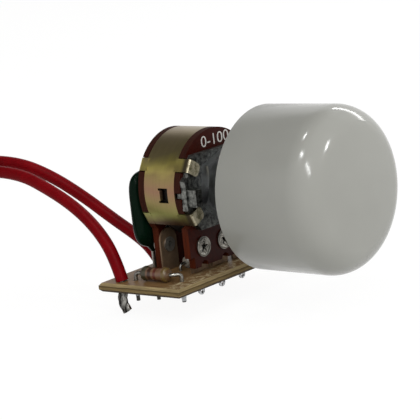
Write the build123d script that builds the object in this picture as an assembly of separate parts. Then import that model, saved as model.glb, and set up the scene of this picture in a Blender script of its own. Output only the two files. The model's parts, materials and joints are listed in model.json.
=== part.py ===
from build123d import *
from math import asin, atan2, degrees, pi, radians, sqrt, tan
import os

os.makedirs("parts", exist_ok=True)

# Rotary dimmer module: a switched carbon potentiometer on a small circuit board,
# with a push-on knob and two red leads. The shaft runs along Y with the knob
# toward -Y, Z is up, and the front face of the bush plate lies at y = 0, where
# a panel would be clamped. All sizes are in millimetres and degrees.

# Clearances
fit_gap = 0.02
run_gap = 0.04
contact_gap = 0.05
free_gap = 0.15
hole_gap = 0.12

# Knob
knob_diameter = 25.0
knob_length = 17.9
knob_draft = 0.6
knob_standoff = 8.7
knob_edge_radius = 4.6
knob_dome = 1.4
knob_wall = 1.8
knob_floor_chamfer = 2.0
knob_rim_round = 0.4
knob_boss_diameter = 9.6
knob_boss_recess = 0.8
knob_rib_count = 4
knob_rib_thickness = 1.0
knob_rib_recess = 5.0
knob_bore_spare = 0.4

# Shaft and its clip
shaft_diameter = 6.0
shaft_length = 20.0
shaft_flat_height = 4.5
shaft_flat_length = 11.0
shaft_end_chamfer = 0.5
collar_diameter = 7.6
clip_thickness = 0.5
clip_diameter = 8.6
clip_groove_depth = 0.45
clip_mouth = 4.4

# Bush plate and nut
bush_diameter = 7.0
bush_length = 7.0
plate_thickness = 1.0
ear_inset = 0.25
plate_height = 11.6
ear_height = 5.5
ear_chamfer = 0.5
lug_thickness = 1.4
lug_height = 2.6
lug_length = 1.7
lug_inset = 0.2
lug_drop = 0.35
nib_width = 0.7
nib_length = 0.8
nib_thickness = 0.4
nut_across_flats = 10.0
nut_thickness = 1.5
nut_turn = 17.6
nut_chamfer = 0.35
nut_chamfer_slope = 30.0

# Wafers and clamp band
pot_diameter = 17.7
wafer_thickness = 1.2
wafer_hole_diameter = 8.2
band_width = 6.0
band_thickness = 0.3
band_end_angle = 33.5
tab_width = 2.1
tab_reach = 2.5
tab_bend = 0.25
tab_tip_round = 0.7
upper_tab_angle = 31.0
lower_tab_angle = 26.0
window_width = 1.85
window_height = 2.3
window_setback = 2.3
stop_tongue_width = 1.6
stop_tongue_reach = 0.7
track_leg_width = 16.2
track_leg_drop = 11.6
leg_notch_depth = 0.9
leg_notch_height = 1.7
pin_notch_radius = 0.8
switch_leg_width = 13.4

# Terminals and rivets
terminal_pitch = 5.0
terminal_width = 3.8
terminal_thickness = 0.3
terminal_top_drop = 6.0
terminal_pin_width = 1.3
terminal_tip_drop = 16.3
tip_slot_width = 0.5
tip_slot_length = 1.2
tip_slot_inset = 0.35
neck_width = 1.6
rivet_drop = 8.6
rivet_shank_diameter = 1.5
rivet_bore_diameter = 0.9
rivet_flare_diameter = 3.1
rivet_head_diameter = 2.3
rivet_head_thickness = 0.25
star_point_count = 5
star_point_reach = 0.85
star_point_width = 0.42

# Rings and tracks on the wafers
film_thickness = 0.05
ring_width = 0.8
carbon_width = 1.4
switch_ring_radius = 3.8
pad_width = 2.2
off_angle = 18.0

# Rotor and its springs
travel = 150.0
stop_margin = 0.6
rotor_front_gap = 1.3
rotor_thickness = 3.7
rotor_hub_diameter = 7.8
stop_lug_height = 0.5
tail_flat_height = 5.2
spring_sheet = 0.2
finger_width = 0.8
finger_run = 2.2
finger_root = 1.2
finger_curl = 0.6
finger_lift = 0.25

# Circuit board
board_drop = 12.6
board_thickness = 1.4
board_left = 15.4
board_right = 13.6
board_front = 2.3
board_rear = 14.0
board_bevel = 0.4
solder_height = 0.8
solder_radius = 0.85
solder_tip_margin = 0.12

# Capacitor
cap_width = 12.0
cap_height = 12.2
cap_thickness = 3.2
cap_corner = 2.4
cap_round = 1.2
cap_shift = -2.4
cap_lift = 3.5
cap_lead_pitch = 5.0
cap_lead_diameter = 0.6
cap_tail = 3.8

# Resistor
resistor_length = 5.4
resistor_end_diameter = 2.3
resistor_waist_diameter = 1.9
resistor_cap_length = 1.4
resistor_side = 12.0
resistor_setback = 4.9
resistor_lead_diameter = 0.6
resistor_hole_pitch = 8.1
resistor_front_skew = 1.1
resistor_rear_skew = -0.25
resistor_stub = 0.5
resistor_tail = 1.8
lead_bend = 0.6

# Diac
diac_length = 4.0
diac_diameter = 1.85
diac_chamfer = 0.35
diac_shift = -2.3
diac_setback = 5.6
diac_lead_diameter = 0.5
diac_hole_pitch = 6.6
diac_tail = 1.2

# Triac
triac_width = 4.8
triac_depth = 3.7
triac_height = 4.8
triac_lift = 1.6
triac_side = 10.7
triac_setback = 5.4
triac_lead_pitch = 1.27
triac_lead_width = 0.45
triac_tail = 1.3
triac_solder_radius = 0.55

# Leads
lead_diameter = 1.95
lead_core_diameter = 1.1
lead_bare_length = 6.0
lead_tail = 3.4
lead_arc_share = 0.45
first_lead_route = [
    (-13.3, 10.9, -12.2),
    (-13.3, 11.9, -8.8),
    (-13.2, 14.6, -4.9),
    (-13.0, 19.0, -1.5),
    (-12.6, 25.0, 1.2),
    (-12.0, 31.6, 3.3),
    (-12.3, 41.0, 3.6),
    (-12.6, 50.0, -3.6),
    (-13.2, 54.0, -13.4),
    (-15.4, 62.4, -16.85),
    (-20.6, 68.5, -16.85),
]
second_lead_route = [
    (-3.2, 11.7, -12.0),
    (-3.25, 12.9, -10.4),
    (-3.45, 15.3, -8.3),
    (-4.0, 20.0, -5.4),
    (-5.0, 24.8, -1.8),
    (-6.5, 29.9, 1.7),
    (-8.0, 35.5, 4.1),
    (-8.3, 44.6, 4.2),
    (-7.9, 53.2, -3.4),
    (-7.0, 57.0, -13.2),
    (-4.4, 65.2, -16.85),
    (2.4, 69.8, -16.85),
]

# Depths along the shaft
wafer_front_y = plate_thickness
wafer_rear_y = wafer_front_y + wafer_thickness
switch_front_y = wafer_rear_y + band_width
switch_rear_y = switch_front_y + wafer_thickness
rotor_front_y = wafer_rear_y + rotor_front_gap
rotor_rear_y = rotor_front_y + rotor_thickness
collar_front_y = plate_thickness + contact_gap
collar_rear_y = wafer_rear_y - contact_gap
clip_rear_y = -bush_length - contact_gap
clip_front_y = clip_rear_y - clip_thickness
knob_rear_y = -knob_standoff
knob_front_y = knob_rear_y - knob_length
window_front_y = wafer_rear_y + window_setback - window_width / 2
window_rear_y = window_front_y + window_width

# Radii and heights
pot_radius = pot_diameter / 2
band_inner_radius = pot_radius - band_thickness
notch_radius = band_inner_radius - tab_bend
shaft_radius = shaft_diameter / 2
bush_radius = bush_diameter / 2
rotor_diameter = 2 * (band_inner_radius - stop_tongue_reach - free_gap)
rotor_radius = rotor_diameter / 2
plate_width = pot_diameter - 2 * ear_inset
hub_radius = rotor_hub_diameter / 2
track_space = (rotor_radius - hub_radius - ring_width - carbon_width) / 3
collector_radius = hub_radius + track_space + ring_width / 2
carbon_radius = rotor_radius - track_space - carbon_width / 2
switch_ring_edge = switch_ring_radius + ring_width / 2
switch_arc_radius = (switch_ring_edge + rotor_radius) / 2
board_top = -board_drop
board_bottom = board_top - board_thickness
terminal_y = (wafer_rear_y + terminal_thickness / 2, switch_front_y - terminal_thickness / 2)
terminal_x = {"left": -terminal_pitch, "centre": 0.0, "right": terminal_pitch}
outer_terminals = ("left", "right")
tab_angles = [upper_tab_angle, 180 - upper_tab_angle, 180 + lower_tab_angle, -lower_tab_angle]


def prism(sketch, front_y, rear_y):
    """A sketch drawn in X and Z, made solid between two depths."""
    return extrude(Plane.XZ.offset(-rear_y) * sketch, amount=rear_y - front_y)


def upright(sketch, low_z, high_z):
    """A sketch drawn in X and Y, made solid between two heights."""
    return extrude(Plane.XY.offset(low_z) * sketch, amount=high_z - low_z)


def sector(inner_radius, outer_radius, start, end):
    """Part of a flat ring between two angles, measured from +X toward +Z."""
    outer = CenterArc((0, 0), outer_radius, start, end - start)
    inner = CenterArc((0, 0), inner_radius, start, end - start)
    sides = [Line(outer @ 0, inner @ 0), Line(outer @ 1, inner @ 1)]
    return make_face([outer, inner] + sides)


def ring(mid_radius, width):
    """A full flat ring about the shaft axis."""
    return Circle(mid_radius + width / 2) - Circle(mid_radius - width / 2)


def spoke(angle, near, far, width):
    """A bar that runs outward from the axis between two radii."""
    return Rot(0, 0, angle) * Pos((near + far) / 2, 0) * Rectangle(far - near, width)


def d_section(radius, flat_height):
    """A round section with one flat on its upper side."""
    cut_height = 2 * radius - flat_height
    cut = Pos(0, radius - cut_height / 2) * Rectangle(2 * radius, cut_height)
    return Circle(radius) - cut


def knob_outline():
    """Half section of the knob's outside: drafted side, round edge and domed face."""
    rim_radius = knob_diameter / 2
    face_radius = rim_radius + knob_length * tan(radians(knob_draft))
    corner = (face_radius, knob_front_y + knob_dome)
    bulge_radius = (face_radius**2 + knob_dome**2) / (2 * knob_dome)
    half_way = face_radius / 2
    middle = (half_way, knob_front_y + bulge_radius - sqrt(bulge_radius**2 - half_way**2))
    face = make_face([
        Line((0, knob_rear_y), (rim_radius, knob_rear_y)),
        Line((rim_radius, knob_rear_y), corner),
        ThreePointArc(corner, middle, (0, knob_front_y)),
        Line((0, knob_front_y), (0, knob_rear_y)),
    ])
    face = fillet(face.vertices().sort_by_distance(corner)[0], knob_edge_radius)
    return fillet(face.vertices().sort_by_distance((rim_radius, knob_rear_y))[0], knob_rim_round)


def make_knob():
    hollow_radius = knob_diameter / 2 - knob_wall
    floor_y = knob_front_y + knob_dome + knob_wall
    boss_rear_y = knob_rear_y - knob_boss_recess
    core = Circle(knob_boss_diameter / 2)
    hollow = prism(Circle(hollow_radius), floor_y, knob_rear_y)
    hollow = chamfer(hollow.faces().sort_by(Axis.Y)[0].edges(), knob_floor_chamfer)
    body = revolve(knob_outline(), Axis.Y) - hollow
    body += prism(core, floor_y, boss_rear_y)
    rib_sketch = Rectangle(2 * hollow_radius, knob_rib_thickness)
    for index in range(knob_rib_count // 2):
        rib_turn = Rot(0, 0, 180 / knob_rib_count + index * 360 / knob_rib_count)
        body += prism(rib_turn * rib_sketch, floor_y, knob_rear_y - knob_rib_recess)
    bore = d_section(shaft_radius + fit_gap, shaft_flat_height + 2 * fit_gap)
    return body - prism(bore, -shaft_length - knob_bore_spare, boss_rear_y)


def make_shaft():
    flat_rear_y = -shaft_length + shaft_flat_length
    body = prism(d_section(shaft_radius, shaft_flat_height), -shaft_length, flat_rear_y)
    body = chamfer(body.faces().sort_by(Axis.Y)[0].edges(), shaft_end_chamfer)
    body += prism(Circle(shaft_radius), flat_rear_y, collar_rear_y)
    body += prism(Circle(collar_diameter / 2), collar_front_y, collar_rear_y)
    body += prism(d_section(shaft_radius, tail_flat_height), collar_rear_y, rotor_rear_y)
    groove = Circle(shaft_diameter) - Circle(shaft_radius - clip_groove_depth)
    return body - prism(groove, clip_front_y - fit_gap, clip_rear_y + fit_gap)


def make_retaining_clip():
    groove_radius = shaft_radius - clip_groove_depth + fit_gap
    mouth = Pos(0, -clip_diameter / 2) * Rectangle(clip_mouth, clip_diameter)
    body = Circle(clip_diameter / 2) - Circle(groove_radius) - mouth
    return prism(body, clip_front_y, clip_rear_y)


def plate_outline():
    disc = Circle(notch_radius) & Rectangle(plate_width, plate_height)
    ears = Rectangle(plate_width, ear_height)
    return disc + chamfer(ears.vertices(), ear_chamfer)


def make_bush_plate():
    body = prism(plate_outline(), 0, plate_thickness)
    body += prism(Circle(bush_radius), -bush_length, 0)
    lug_x = -plate_width / 2 + lug_inset + lug_thickness / 2
    lug = Pos(lug_x, -lug_drop) * Rectangle(lug_thickness, lug_height)
    body += prism(lug, -lug_length, 0)
    nib_x = -plate_width / 2 + nib_thickness / 2
    nib = Pos(nib_x, 0) * Rectangle(nib_thickness, nib_width)
    body += prism(nib, plate_thickness, plate_thickness + nib_length)
    return body - prism(Circle(shaft_radius + run_gap), -bush_length, plate_thickness)


def make_bush_nut():
    hexagon = RegularPolygon(nut_across_flats / 2, 6, major_radius=False)
    blank = prism(Rot(0, 0, nut_turn) * hexagon, -nut_thickness, 0)
    corner_radius = nut_across_flats / sqrt(3)
    front_radius = corner_radius - nut_chamfer / tan(radians(nut_chamfer_slope))
    crown = revolve(
        make_face(Polyline(
            (0, 0),
            (corner_radius, 0),
            (corner_radius, nut_chamfer - nut_thickness),
            (front_radius, -nut_thickness),
            (0, -nut_thickness),
            close=True,
        )),
        Axis.Y,
    )
    return (blank & crown) - prism(Circle(bush_radius + fit_gap), -nut_thickness, 0)


def wafer_outline(leg_width, leg_drop):
    """Round wafer with a leg, notched at the rim where the band's tabs pass."""
    outline = Circle(pot_radius) + Pos(0, -leg_drop / 2) * Rectangle(leg_width, leg_drop)
    for angle in tab_angles:
        outline -= spoke(angle, notch_radius, pot_diameter, tab_width + 2 * free_gap)
    return outline


def rivet_holes(names):
    hole = Circle(rivet_shank_diameter / 2 + fit_gap)
    return Sketch() + [Pos(terminal_x[name], -rivet_drop) * hole for name in names]


def make_track_wafer():
    outline = wafer_outline(track_leg_width, track_leg_drop) - Circle(wafer_hole_diameter / 2)
    nib_near = plate_width / 2 - nib_thickness - free_gap
    outline -= spoke(180, nib_near, pot_diameter, nib_width + 2 * free_gap)
    notch = Rectangle(2 * leg_notch_depth, 2 * leg_notch_height)
    for side in (-1, 1):
        outline -= Pos(side * track_leg_width / 2, -track_leg_drop) * notch
    for x in terminal_x.values():
        outline -= Pos(x, -track_leg_drop) * Circle(pin_notch_radius)
    return prism(outline - rivet_holes(terminal_x), wafer_front_y, wafer_rear_y)


def make_switch_wafer():
    outline = wafer_outline(switch_leg_width, board_drop) - rivet_holes(outer_terminals)
    return prism(outline, switch_front_y, switch_rear_y)


def terminal_outline(x):
    """Riveted strip with a round top, standing on the board with a slotted pin."""
    cap_drop = terminal_top_drop + terminal_width / 2
    pin_end_drop = terminal_tip_drop - terminal_pin_width / 2
    outline = Pos(x, -cap_drop) * Circle(terminal_width / 2)
    outline += Pos(x, -(cap_drop + board_drop) / 2) * Rectangle(terminal_width, board_drop - cap_drop)
    pin = Rectangle(terminal_pin_width, pin_end_drop - board_drop)
    outline += Pos(x, -(board_drop + pin_end_drop) / 2) * pin
    outline += Pos(x, -pin_end_drop) * Circle(terminal_pin_width / 2)
    slot_drop = terminal_tip_drop - tip_slot_inset - tip_slot_length / 2
    outline -= Pos(x, -slot_drop) * Rot(0, 0, 90) * SlotOverall(tip_slot_length, tip_slot_width)
    return outline - Pos(x, -rivet_drop) * Circle(rivet_shank_diameter / 2 + fit_gap)


def make_track_terminal(name):
    outline = terminal_outline(terminal_x[name])
    if name == "centre":
        outline += ring(collector_radius, ring_width)
        outline += spoke(-90, collector_radius, terminal_top_drop + terminal_width / 4, neck_width)
    return prism(outline, wafer_rear_y, wafer_rear_y + terminal_thickness)


def make_switch_terminal(name):
    return prism(terminal_outline(terminal_x[name]), switch_front_y - terminal_thickness, switch_front_y)


def make_rivet(x, flare_face, head_face):
    """Hollow rivet with a star-split flare on one face and a round head on the other."""
    outward = 1 if flare_face > head_face else -1
    centre = Pos(x, -rivet_drop)
    star = Circle(rivet_bore_diameter / 2)
    for index in range(star_point_count):
        star += spoke(90 + index * 360 / star_point_count, 0, star_point_reach, star_point_width)
    flare = centre * (Circle(rivet_flare_diameter / 2) - star)
    bore = Circle(rivet_bore_diameter / 2)
    shank = centre * (Circle(rivet_shank_diameter / 2) - bore)
    head = centre * (Circle(rivet_head_diameter / 2) - bore)
    flare_end = flare_face + outward * rivet_head_thickness
    head_end = head_face - outward * rivet_head_thickness
    body = prism(shank, min(flare_face, head_face), max(flare_face, head_face))
    body += prism(flare, min(flare_face, flare_end), max(flare_face, flare_end))
    return body + prism(head, min(head_face, head_end), max(head_face, head_end))


def make_track_rivets():
    head_face = wafer_rear_y + terminal_thickness
    return [make_rivet(x, wafer_front_y, head_face) for x in terminal_x.values()]


def make_switch_rivets():
    head_face = switch_front_y - terminal_thickness
    return [make_rivet(terminal_x[name], switch_rear_y, head_face) for name in outer_terminals]


def pad_angle(name):
    """Direction from the shaft axis to the round top of a terminal."""
    return degrees(atan2(-terminal_top_drop - terminal_width / 2, terminal_x[name]))


def terminal_pad(name, near_radius):
    """Printed bar from a track out to the edge of its terminal."""
    bar = spoke(pad_angle(name), near_radius, rotor_radius, pad_width)
    return bar - terminal_outline(terminal_x[name])


def film_arc(mid_radius, start, end):
    return sector(mid_radius - carbon_width / 2, mid_radius + carbon_width / 2, start, end)


def make_carbon_track():
    film = film_arc(carbon_radius, pad_angle("right"), 360 + pad_angle("left"))
    for name in outer_terminals:
        film += terminal_pad(name, carbon_radius)
    return prism(film, wafer_rear_y, wafer_rear_y + film_thickness)


def make_switch_track():
    """Inner ring to the left terminal, outer arc to the right; the arc stops short at off."""
    inner = ring(switch_ring_radius, ring_width) + terminal_pad("left", switch_ring_radius)
    arc_end = 90 + travel - off_angle
    outer = film_arc(switch_arc_radius, pad_angle("right"), arc_end)
    outer += terminal_pad("right", switch_arc_radius)
    return [prism(film, switch_front_y - film_thickness, switch_front_y) for film in (inner, outer)]


def make_rotor():
    body = prism(Circle(rotor_radius), rotor_front_y, rotor_rear_y)
    body += prism(Circle(hub_radius), collar_rear_y + fit_gap, rotor_front_y)
    tongue_half = degrees(asin(stop_tongue_width / 2 / (band_inner_radius - stop_tongue_reach)))
    lug_half = 180 - travel - stop_margin - tongue_half
    lug = sector(rotor_radius - stop_lug_height, rotor_radius + stop_lug_height, -lug_half, lug_half)
    body += prism(lug, window_front_y, window_rear_y)
    bore = d_section(shaft_radius + fit_gap, tail_flat_height + 2 * fit_gap)
    return body - prism(bore, collar_rear_y, rotor_rear_y)


def make_spring(sheet_y, targets):
    """Flat root on the rotor with a bent finger for each (radius, contact face)."""
    radii = [radius for radius, contact in targets]
    low = min(radii) - finger_width / 2
    high = max(radii) + finger_width / 2
    root = Pos(finger_run + finger_root / 2, (low + high) / 2) * Rectangle(finger_root, high - low)
    body = prism(root, sheet_y - spring_sheet / 2, sheet_y + spring_sheet / 2)
    for radius, contact in targets:
        toward = 1 if contact > sheet_y else -1
        tip_y = contact - toward * (contact_gap + spring_sheet / 2)
        path = Polyline(
            (finger_run + finger_root / 2, sheet_y),
            (finger_run, sheet_y),
            (0, tip_y),
            (-finger_curl, tip_y - toward * finger_lift),
        )
        blade = Plane.XY.offset(radius - finger_width / 2) * trace(path, spring_sheet)
        body += extrude(blade, amount=finger_width)
    return body


def make_track_wiper():
    ring_face = wafer_rear_y + terminal_thickness
    film_face = wafer_rear_y + film_thickness
    targets = [(collector_radius, ring_face), (carbon_radius, film_face)]
    return make_spring(rotor_front_y - spring_sheet / 2, targets)


def make_switch_contact():
    film_face = switch_front_y - film_thickness
    targets = [(switch_ring_radius, film_face), (switch_arc_radius, film_face)]
    return make_spring(rotor_rear_y + spring_sheet / 2, targets)


def band_tab(angle, root_y, fold_y):
    """Tab that leaves the band's edge and is folded in over a face, with a round tip."""
    outward = 1 if fold_y > root_y else -1
    sheet_radius = pot_radius - band_thickness / 2
    sheet_y = fold_y + outward * band_thickness / 2
    path = FilletPolyline(
        (sheet_radius, root_y - outward * band_thickness),
        (sheet_radius, sheet_y),
        (pot_radius - tab_reach, sheet_y),
        radius=tab_bend + band_thickness / 2,
    )
    blade = extrude(Plane.XY.offset(-tab_width / 2) * trace(path, band_thickness), amount=tab_width)
    tip_edges = blade.edges().filter_by(Axis.Y).sort_by(Axis.X)[:2]
    return Rot(0, -angle, 0) * fillet(tip_edges, tab_tip_round)


def make_clamp_band():
    """Steel strip round the wafers: clamping tabs on both edges, window with a stop tongue."""
    strip = sector(band_inner_radius, pot_radius, -band_end_angle, 180 + band_end_angle)
    body = prism(strip, wafer_rear_y, switch_front_y)
    opening = Pos(-pot_radius, 0) * Rectangle(2 * tab_reach, window_height)
    body -= prism(opening, window_front_y, window_rear_y)
    for angle in tab_angles:
        body += band_tab(angle, wafer_rear_y, 0)
        body += band_tab(angle, switch_front_y, switch_rear_y)
    tongue_length = band_thickness + stop_tongue_reach
    tongue_x = -pot_radius + tongue_length / 2
    tongue = Pos(tongue_x, 0) * Rectangle(tongue_length, stop_tongue_width)
    return body + prism(tongue & Circle(pot_radius), window_rear_y - band_thickness, window_rear_y)


cap_y = switch_rear_y + band_thickness + free_gap + cap_thickness / 2
cap_lead_x = [cap_shift - cap_lead_pitch / 2, cap_shift + cap_lead_pitch / 2]
resistor_z = board_top + resistor_end_diameter / 2 + fit_gap
resistor_holes = [
    (resistor_front_skew - resistor_side, resistor_setback - resistor_hole_pitch / 2),
    (resistor_rear_skew - resistor_side, resistor_setback + resistor_hole_pitch / 2),
]
diac_z = board_top + diac_diameter / 2 + fit_gap
diac_hole_x = [diac_shift + side * diac_hole_pitch / 2 for side in (-1, 1)]
triac_lead_y = [triac_setback + step * triac_lead_pitch for step in (-1, 0, 1)]
lead_routes = [first_lead_route, second_lead_route]

round_pins = [(x, cap_y, cap_lead_diameter, solder_radius) for x in cap_lead_x]
round_pins += [(x, y, resistor_lead_diameter, solder_radius) for x, y in resistor_holes]
round_pins += [(x, diac_setback, diac_lead_diameter, solder_radius) for x in diac_hole_x]
round_pins += [(triac_side, y, triac_lead_width, triac_solder_radius) for y in triac_lead_y]
round_pins += [(route[0][0], route[0][1], lead_core_diameter, solder_radius) for route in lead_routes]
flat_pins = [(x, terminal_y[0]) for x in terminal_x.values()]
flat_pins += [(terminal_x[name], terminal_y[1]) for name in outer_terminals]


def make_circuit_board():
    width = board_left + board_right
    depth = board_front + board_rear
    centre = Pos((board_right - board_left) / 2, (board_rear - board_front) / 2)
    body = upright(centre * Rectangle(width, depth), board_bottom, board_top)
    rims = body.faces().sort_by(Axis.Z)
    body = chamfer(rims[0].edges() + rims[-1].edges(), board_bevel)
    for x, y, diameter, joint in round_pins:
        body -= upright(Pos(x, y) * Circle(diameter / 2 + hole_gap), board_bottom, board_top)
    slot = Rectangle(terminal_pin_width + 2 * hole_gap, terminal_thickness + 2 * hole_gap)
    for x, y in flat_pins:
        body -= upright(Pos(x, y) * slot, board_bottom, board_top)
    return body


def solder_cone(x, y, foot_radius, tip_radius):
    return Pos(x, y, board_bottom - solder_height / 2) * Cone(tip_radius, foot_radius, solder_height)


def make_solder_joints():
    joints = []
    for x, y, diameter, joint in round_pins:
        cone = solder_cone(x, y, joint, diameter / 2 + solder_tip_margin)
        wire = upright(Pos(x, y) * Circle(diameter / 2), board_bottom - solder_height, board_bottom)
        joints.append(cone - wire)
    pin = Rectangle(terminal_pin_width, terminal_thickness)
    for x, y in flat_pins:
        cone = solder_cone(x, y, solder_radius, terminal_pin_width / 2 + solder_tip_margin)
        joints.append(cone - upright(Pos(x, y) * pin, board_bottom - solder_height, board_bottom))
    return joints


def make_film_capacitor():
    outline = RectangleRounded(cap_width, cap_height, cap_corner)
    middle_z = board_top + cap_lift + cap_height / 2
    body = prism(Pos(cap_shift, middle_z) * outline, cap_y - cap_thickness / 2, cap_y + cap_thickness / 2)
    faces = body.faces().sort_by(Axis.Y)
    return fillet(faces[0].edges() + faces[-1].edges(), cap_round)


def make_capacitor_leads(body):
    low = board_bottom - cap_tail
    high = board_top + cap_lift + cap_round
    return [upright(Pos(x, cap_y) * Circle(cap_lead_diameter / 2), low, high) - body for x in cap_lead_x]


def make_timing_resistor():
    """Coated body with a bulge over each end cap, lying along Y."""
    half = resistor_length / 2
    end = resistor_end_diameter / 2
    waist = resistor_waist_diameter / 2
    crown = half - resistor_cap_length / 2
    shoulder = half - resistor_cap_length
    side = make_face([
        Line((0, -half), (end / 2, -half)),
        ThreePointArc((end / 2, -half), (end, -crown), (waist, -shoulder)),
        Line((waist, -shoulder), (waist, shoulder)),
        ThreePointArc((waist, shoulder), (end, crown), (end / 2, half)),
        Line((end / 2, half), (0, half)),
        Line((0, half), (0, -half)),
    ])
    return Pos(-resistor_side, resistor_setback, resistor_z) * revolve(side, Axis.Y)


def bent_lead(points, diameter):
    """Round wire from a body's end, bent down into the board."""
    path = FilletPolyline(*points, radius=lead_bend)
    section = Plane(origin=path @ 0, z_dir=path % 0) * Circle(diameter / 2)
    return sweep(section, path=path)


def make_resistor_leads():
    low = board_bottom - resistor_tail
    leads = []
    for side, (x, y) in zip((-1, 1), resistor_holes):
        end_y = resistor_setback + side * resistor_length / 2
        start = (-resistor_side, end_y, resistor_z)
        stub = (-resistor_side, end_y + side * resistor_stub, resistor_z)
        leads.append(bent_lead([start, stub, (x, y, resistor_z), (x, y, low)], resistor_lead_diameter))
    return leads


def make_trigger_diac():
    body = extrude(Plane.YZ.offset(diac_shift - diac_length / 2)
                   * Pos(diac_setback, diac_z) * Circle(diac_diameter / 2), amount=diac_length)
    return chamfer(body.edges().filter_by(GeomType.CIRCLE), diac_chamfer)


def make_diac_leads():
    low = board_bottom - diac_tail
    leads = []
    for side, hole_x in zip((-1, 1), diac_hole_x):
        start = (diac_shift + side * diac_length / 2, diac_setback, diac_z)
        corner = (hole_x, diac_setback, diac_z)
        leads.append(bent_lead([start, corner, (hole_x, diac_setback, low)], diac_lead_diameter))
    return leads


def make_triac():
    """Half-round moulded body on three legs, flat side toward the wafers."""
    round_side = Circle(triac_width / 2)
    flat_cut = Rectangle(triac_depth, triac_width)
    section = round_side & Pos((triac_width - triac_depth) / 2, 0) * flat_cut
    foot_z = board_top + triac_lift
    return upright(Pos(triac_side, triac_setback) * section, foot_z, foot_z + triac_height)


def make_triac_leads():
    leg = Circle(triac_lead_width / 2)
    low = board_bottom - triac_tail
    return [upright(Pos(triac_side, y) * leg, low, board_top + triac_lift) for y in triac_lead_y]


def route_radii(route):
    """Largest arcs that fit at the route's corners."""
    points = [Vector(point) for point in route]
    radii = []
    for before, here, after in zip(points, points[1:], points[2:]):
        turn = (here - before).get_angle(after - here)
        shorter = min((here - before).length, (after - here).length)
        radii.append(lead_arc_share * shorter / tan(radians(turn / 2)))
    return radii


def lead_path(route):
    return FilletPolyline(*route, radius=route_radii(route))


def make_lead(route):
    path = lead_path(route)
    section = Plane(origin=path @ 0, z_dir=path % 0) * Circle(lead_diameter / 2)
    return sweep(section, path=path)


def make_lead_tail(route, lead):
    x, y, start_z = route[0]
    wire = Pos(x, y) * Circle(lead_core_diameter / 2)
    return upright(wire, board_bottom - lead_tail, start_z + lead_core_diameter / 2) - lead


def make_lead_end(route):
    path = lead_path(route)
    section = Plane(origin=path @ 1, z_dir=path % 1) * Circle(lead_core_diameter / 2)
    return extrude(section, amount=lead_bare_length)


capacitor = make_film_capacitor()
leads = [make_lead(route) for route in lead_routes]

pieces = {
    "knob": make_knob(),
    "shaft": make_shaft(),
    "retaining_clip": make_retaining_clip(),
    "bush_plate": make_bush_plate(),
    "bush_nut": make_bush_nut(),
    "track_wafer": make_track_wafer(),
    "carbon_track": make_carbon_track(),
    "track_rivets": make_track_rivets(),
    "rotor": make_rotor(),
    "track_wiper": make_track_wiper(),
    "switch_contact": make_switch_contact(),
    "clamp_band": make_clamp_band(),
    "switch_wafer": make_switch_wafer(),
    "switch_track": make_switch_track(),
    "switch_rivets": make_switch_rivets(),
    "circuit_board": make_circuit_board(),
    "solder_joints": make_solder_joints(),
    "film_capacitor": capacitor,
    "capacitor_leads": make_capacitor_leads(capacitor),
    "timing_resistor": make_timing_resistor(),
    "resistor_leads": make_resistor_leads(),
    "trigger_diac": make_trigger_diac(),
    "diac_leads": make_diac_leads(),
    "triac": make_triac(),
    "triac_leads": make_triac_leads(),
    "lead_first": leads[0],
    "lead_second": leads[1],
    "lead_tails": [make_lead_tail(route, lead) for route, lead in zip(lead_routes, leads)],
    "lead_first_end": make_lead_end(first_lead_route),
    "lead_second_end": make_lead_end(second_lead_route),
}
for terminal_name in terminal_x:
    pieces["track_terminal_" + terminal_name] = make_track_terminal(terminal_name)
for terminal_name in outer_terminals:
    pieces["switch_terminal_" + terminal_name] = make_switch_terminal(terminal_name)

for name, shape in pieces.items():
    solid = Compound(children=shape) if isinstance(shape, list) else shape
    export_step(solid, "parts/" + name + ".step")

for route, lead in zip(lead_routes, leads):
    length = lead_path(route).length
    fill = lead.volume / (length * pi * lead_diameter**2 / 4)
    print("lead length", round(length, 1), "mm, volume over section times length", round(fill, 4))
    print("bend radii", [round(radius, 1) for radius in route_radii(route)])
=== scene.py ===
# %% [markdown]
# # A rotary dimmer module, dressed for its portrait
# The object is a small switched potentiometer that stands on a circuit board, with a big push-on knob
# and two red leads. Its solids come ready from the workshop, in metres, each one a named node on a
# named body. Here every surface gets the finish of its real material, and the pieces whose charm lies
# in small forms (rolled rivets, solder, threads, wire strands) are built again in finer detail.

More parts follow.
